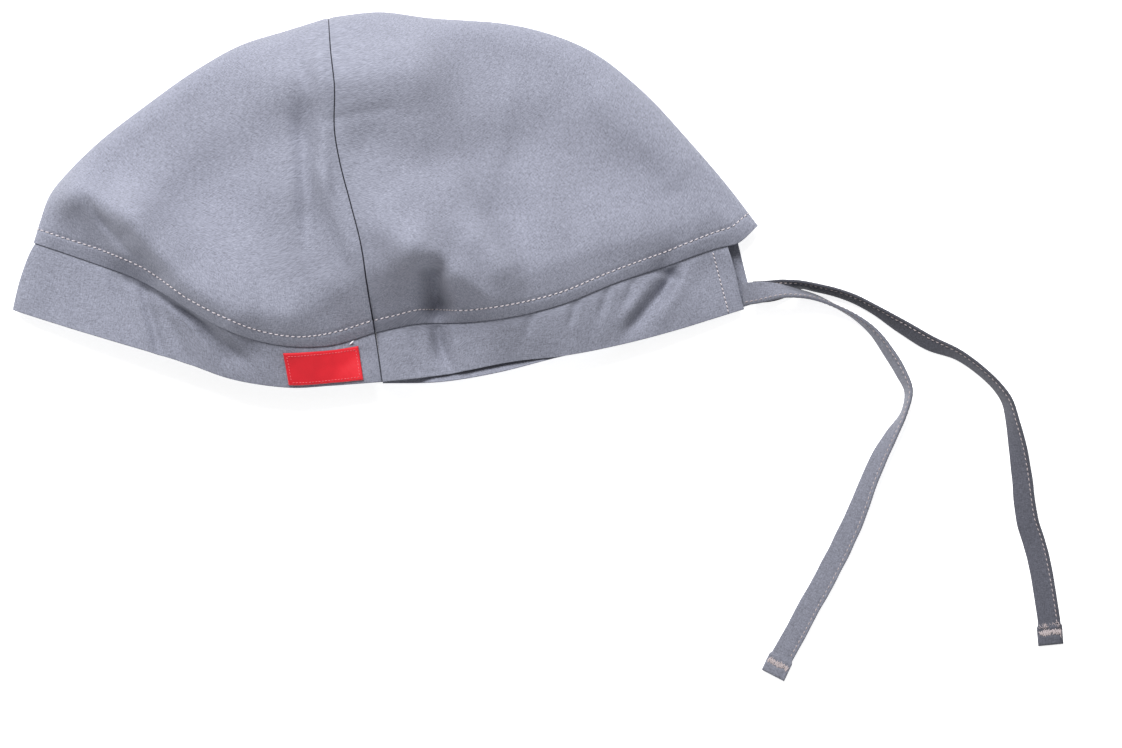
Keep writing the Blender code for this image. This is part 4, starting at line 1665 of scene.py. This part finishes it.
    def tack(self) -> bpy.types.Object:
        """Builds the bar tack: close slanted stitches side by side, a little uneven, over both faces.

        Returns:
            The object.
        """
        maker = Stitching(radius=0.25 * MM, sink=0.1 * MM)
        rng = np.random.default_rng(61)
        n = self.tack_threads
        t = np.linspace(-1, 1, maker.rings)
        arcs, ups = [], []
        for sign in (1, -1):
            place = np.linspace(-0.9, 0.98, n)[:, None] + rng.uniform(-0.05, 0.05, (n, 1))
            lean = np.where(np.arange(n) % 2 == 0, 0.09, -0.09)[:, None] * rng.uniform(0.4, 1.8, (n, 1))
            reach = self.tack_half * rng.uniform(0.6, 1.25, (n, 1))
            along = self.length - self.tack_in + t * reach + rng.uniform(-0.3, 0.3, (n, 1)) * MM
            bow = rng.uniform(0.08, 0.3, (n, 1)) * MM * np.cos(np.pi / 2 * t)
            points, normals = self.laid(place + lean * t, along, bow, sign)
            arcs.append(points)
            ups.append(normals)
        return maker.tubes(f"{self.name}_tack", np.concatenate(arcs), np.concatenate(ups))

    def frayed(self) -> bpy.types.Object:
        """Builds the loose thread ends: short bent threads at the folded end's cut edge and beside the tack.

        Returns:
            The object.
        """
        maker = Stitching(radius=0.11 * MM, sink=0.0)
        rng = np.random.default_rng(67)
        n, few = self.frays, self.frays // 4
        t = np.linspace(-1, 1, maker.rings)
        place = rng.uniform(-0.95, 1.0, (n, 1))
        along = self.length - self.block + rng.uniform(-0.5, 0.7, (n, 1)) * MM
        place[:few] = rng.uniform(0.98, 1.12, (few, 1))
        along[:few] = self.length - rng.uniform(2.0, self.block / MM, (few, 1)) * MM
        turn = rng.uniform(0, 2 * np.pi, (n, 1))
        reach = rng.uniform(0.4, 1.1, (n, 1)) * MM
        curl = rng.uniform(-0.5, 0.5, (n, 1)) * MM * (1 - t**2)
        across = (np.cos(turn) * t * reach - np.sin(turn) * curl) / (self.width / 2)
        ahead = np.sin(turn) * t * reach + np.cos(turn) * curl
        bow = rng.uniform(0.1, 0.35, (n, 1)) * MM * np.cos(np.pi / 2 * t) + 0.05 * MM
        points, normals = self.laid(place + across, np.minimum(along + ahead, self.length - 0.4 * MM), bow, 1)
        return maker.tubes(f"{self.name}_thread_ends", points, normals)

    def build(self, finish: bpy.types.Material, finishes: Finishes) -> None:
        """Args:
            finish: The strip's material.
            finishes: The materials.
        """
        strip = self.mesh()
        dress(strip, finish)
        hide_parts(self.name)
        threads = [self.stitches(), self.tack(), self.frayed()]
        for piece in threads:
            dress(piece, finishes.tie_thread)
        self.length
        [tuple(float(c) for c in point) for point in self.route[0]]
        log.info("%s: %.0f mm long", self.name, self.length / MM)


@dataclass
class Studio:
    """The camera, the pale floor and the soft light."""

    view_x: float = 67.57 * MM
    view_y: float = -66.8 * MM
    view_width: float = 431.97 * MM
    distance: float = 4.0
    sensor: float = 36.0
    floor_half: float = 3.0
    floor_drop: float = 0.25 * MM
    sky: float = 0.4
    lamp: float = 4.4
    lamp_angle: float = 30.0
    lamp_from: tuple[float, float, float] = (-0.32, 0.78, 1.0)

    def camera(self) -> None:
        """Makes the camera: straight above, its long side covering the photograph's width on the floor."""
        data = bpy.data.cameras.new("camera")
        data.sensor_width = self.sensor
        data.lens = self.sensor * self.distance / self.view_width
        made = bpy.data.objects.new("camera", data)
        made.location = (self.view_x, self.view_y, self.distance)
        bpy.context.scene.collection.objects.link(made)
        bpy.context.scene.camera = made

    def floor(self, finish: bpy.types.Material) -> None:
        """Makes the floor, a hair below the cloth.

        Args:
            finish: Its material.
        """
        h = self.floor_half
        points = np.array([[-h, -h, 0], [h, -h, 0], [h, h, 0], [-h, h, 0]]) - [0, 0, self.floor_drop]
        made = make_mesh("floor", points, np.array([[0, 1, 2, 3]]))
        made.data.materials.append(finish)

    def light(self) -> None:
        """Makes an even pale sky and one wide soft lamp high over the crown's side."""
        scene = bpy.context.scene
        scene.view_settings.view_transform = "Standard"
        world = bpy.data.worlds.new("studio")
        world.use_nodes = True
        background = world.node_tree.nodes["Background"]
        background.inputs["Color"].default_value = (1, 1, 1, 1)
        background.inputs["Strength"].default_value = self.sky
        scene.world = world
        data = bpy.data.lights.new("lamp", "SUN")
        data.energy = self.lamp
        data.angle = math.radians(self.lamp_angle)
        made = bpy.data.objects.new("lamp", data)
        x, y, z = self.lamp_from
        made.rotation_euler = (math.atan2(-y, z), math.atan2(x, math.hypot(y, z)), 0)
        scene.collection.objects.link(made)


def main() -> None:
    """Builds the camera and the ties first, then the cap, the floor and the light."""
    logging.basicConfig(level=logging.INFO, format="%(name)s %(message)s")
    finishes = Finishes.mixed()
    studio = Studio()
    studio.camera()
    Tie("tie_left", TIE_LEFT, -1, (0.1425, -0.0356, 0.0078)).build(finishes.tie_near, finishes)
    # the far tie's darker finish is painted shade
    Tie("tie_right", TIE_RIGHT, 1, (0.1448, -0.0352, 0.0019)).build(finishes.tie_far, finishes)
    form = CapForm()
    for part in Part:
        Gore(part, Half.LEFT, form).build(finishes)
        Gore(part, Half.RIGHT, form, rows=80, columns=90).build(finishes)
    Band(form).build(finishes)
    Patch(form).build(finishes)
    studio.floor(finishes.floor)
    studio.light()


if __name__ == "__main__":
    main()
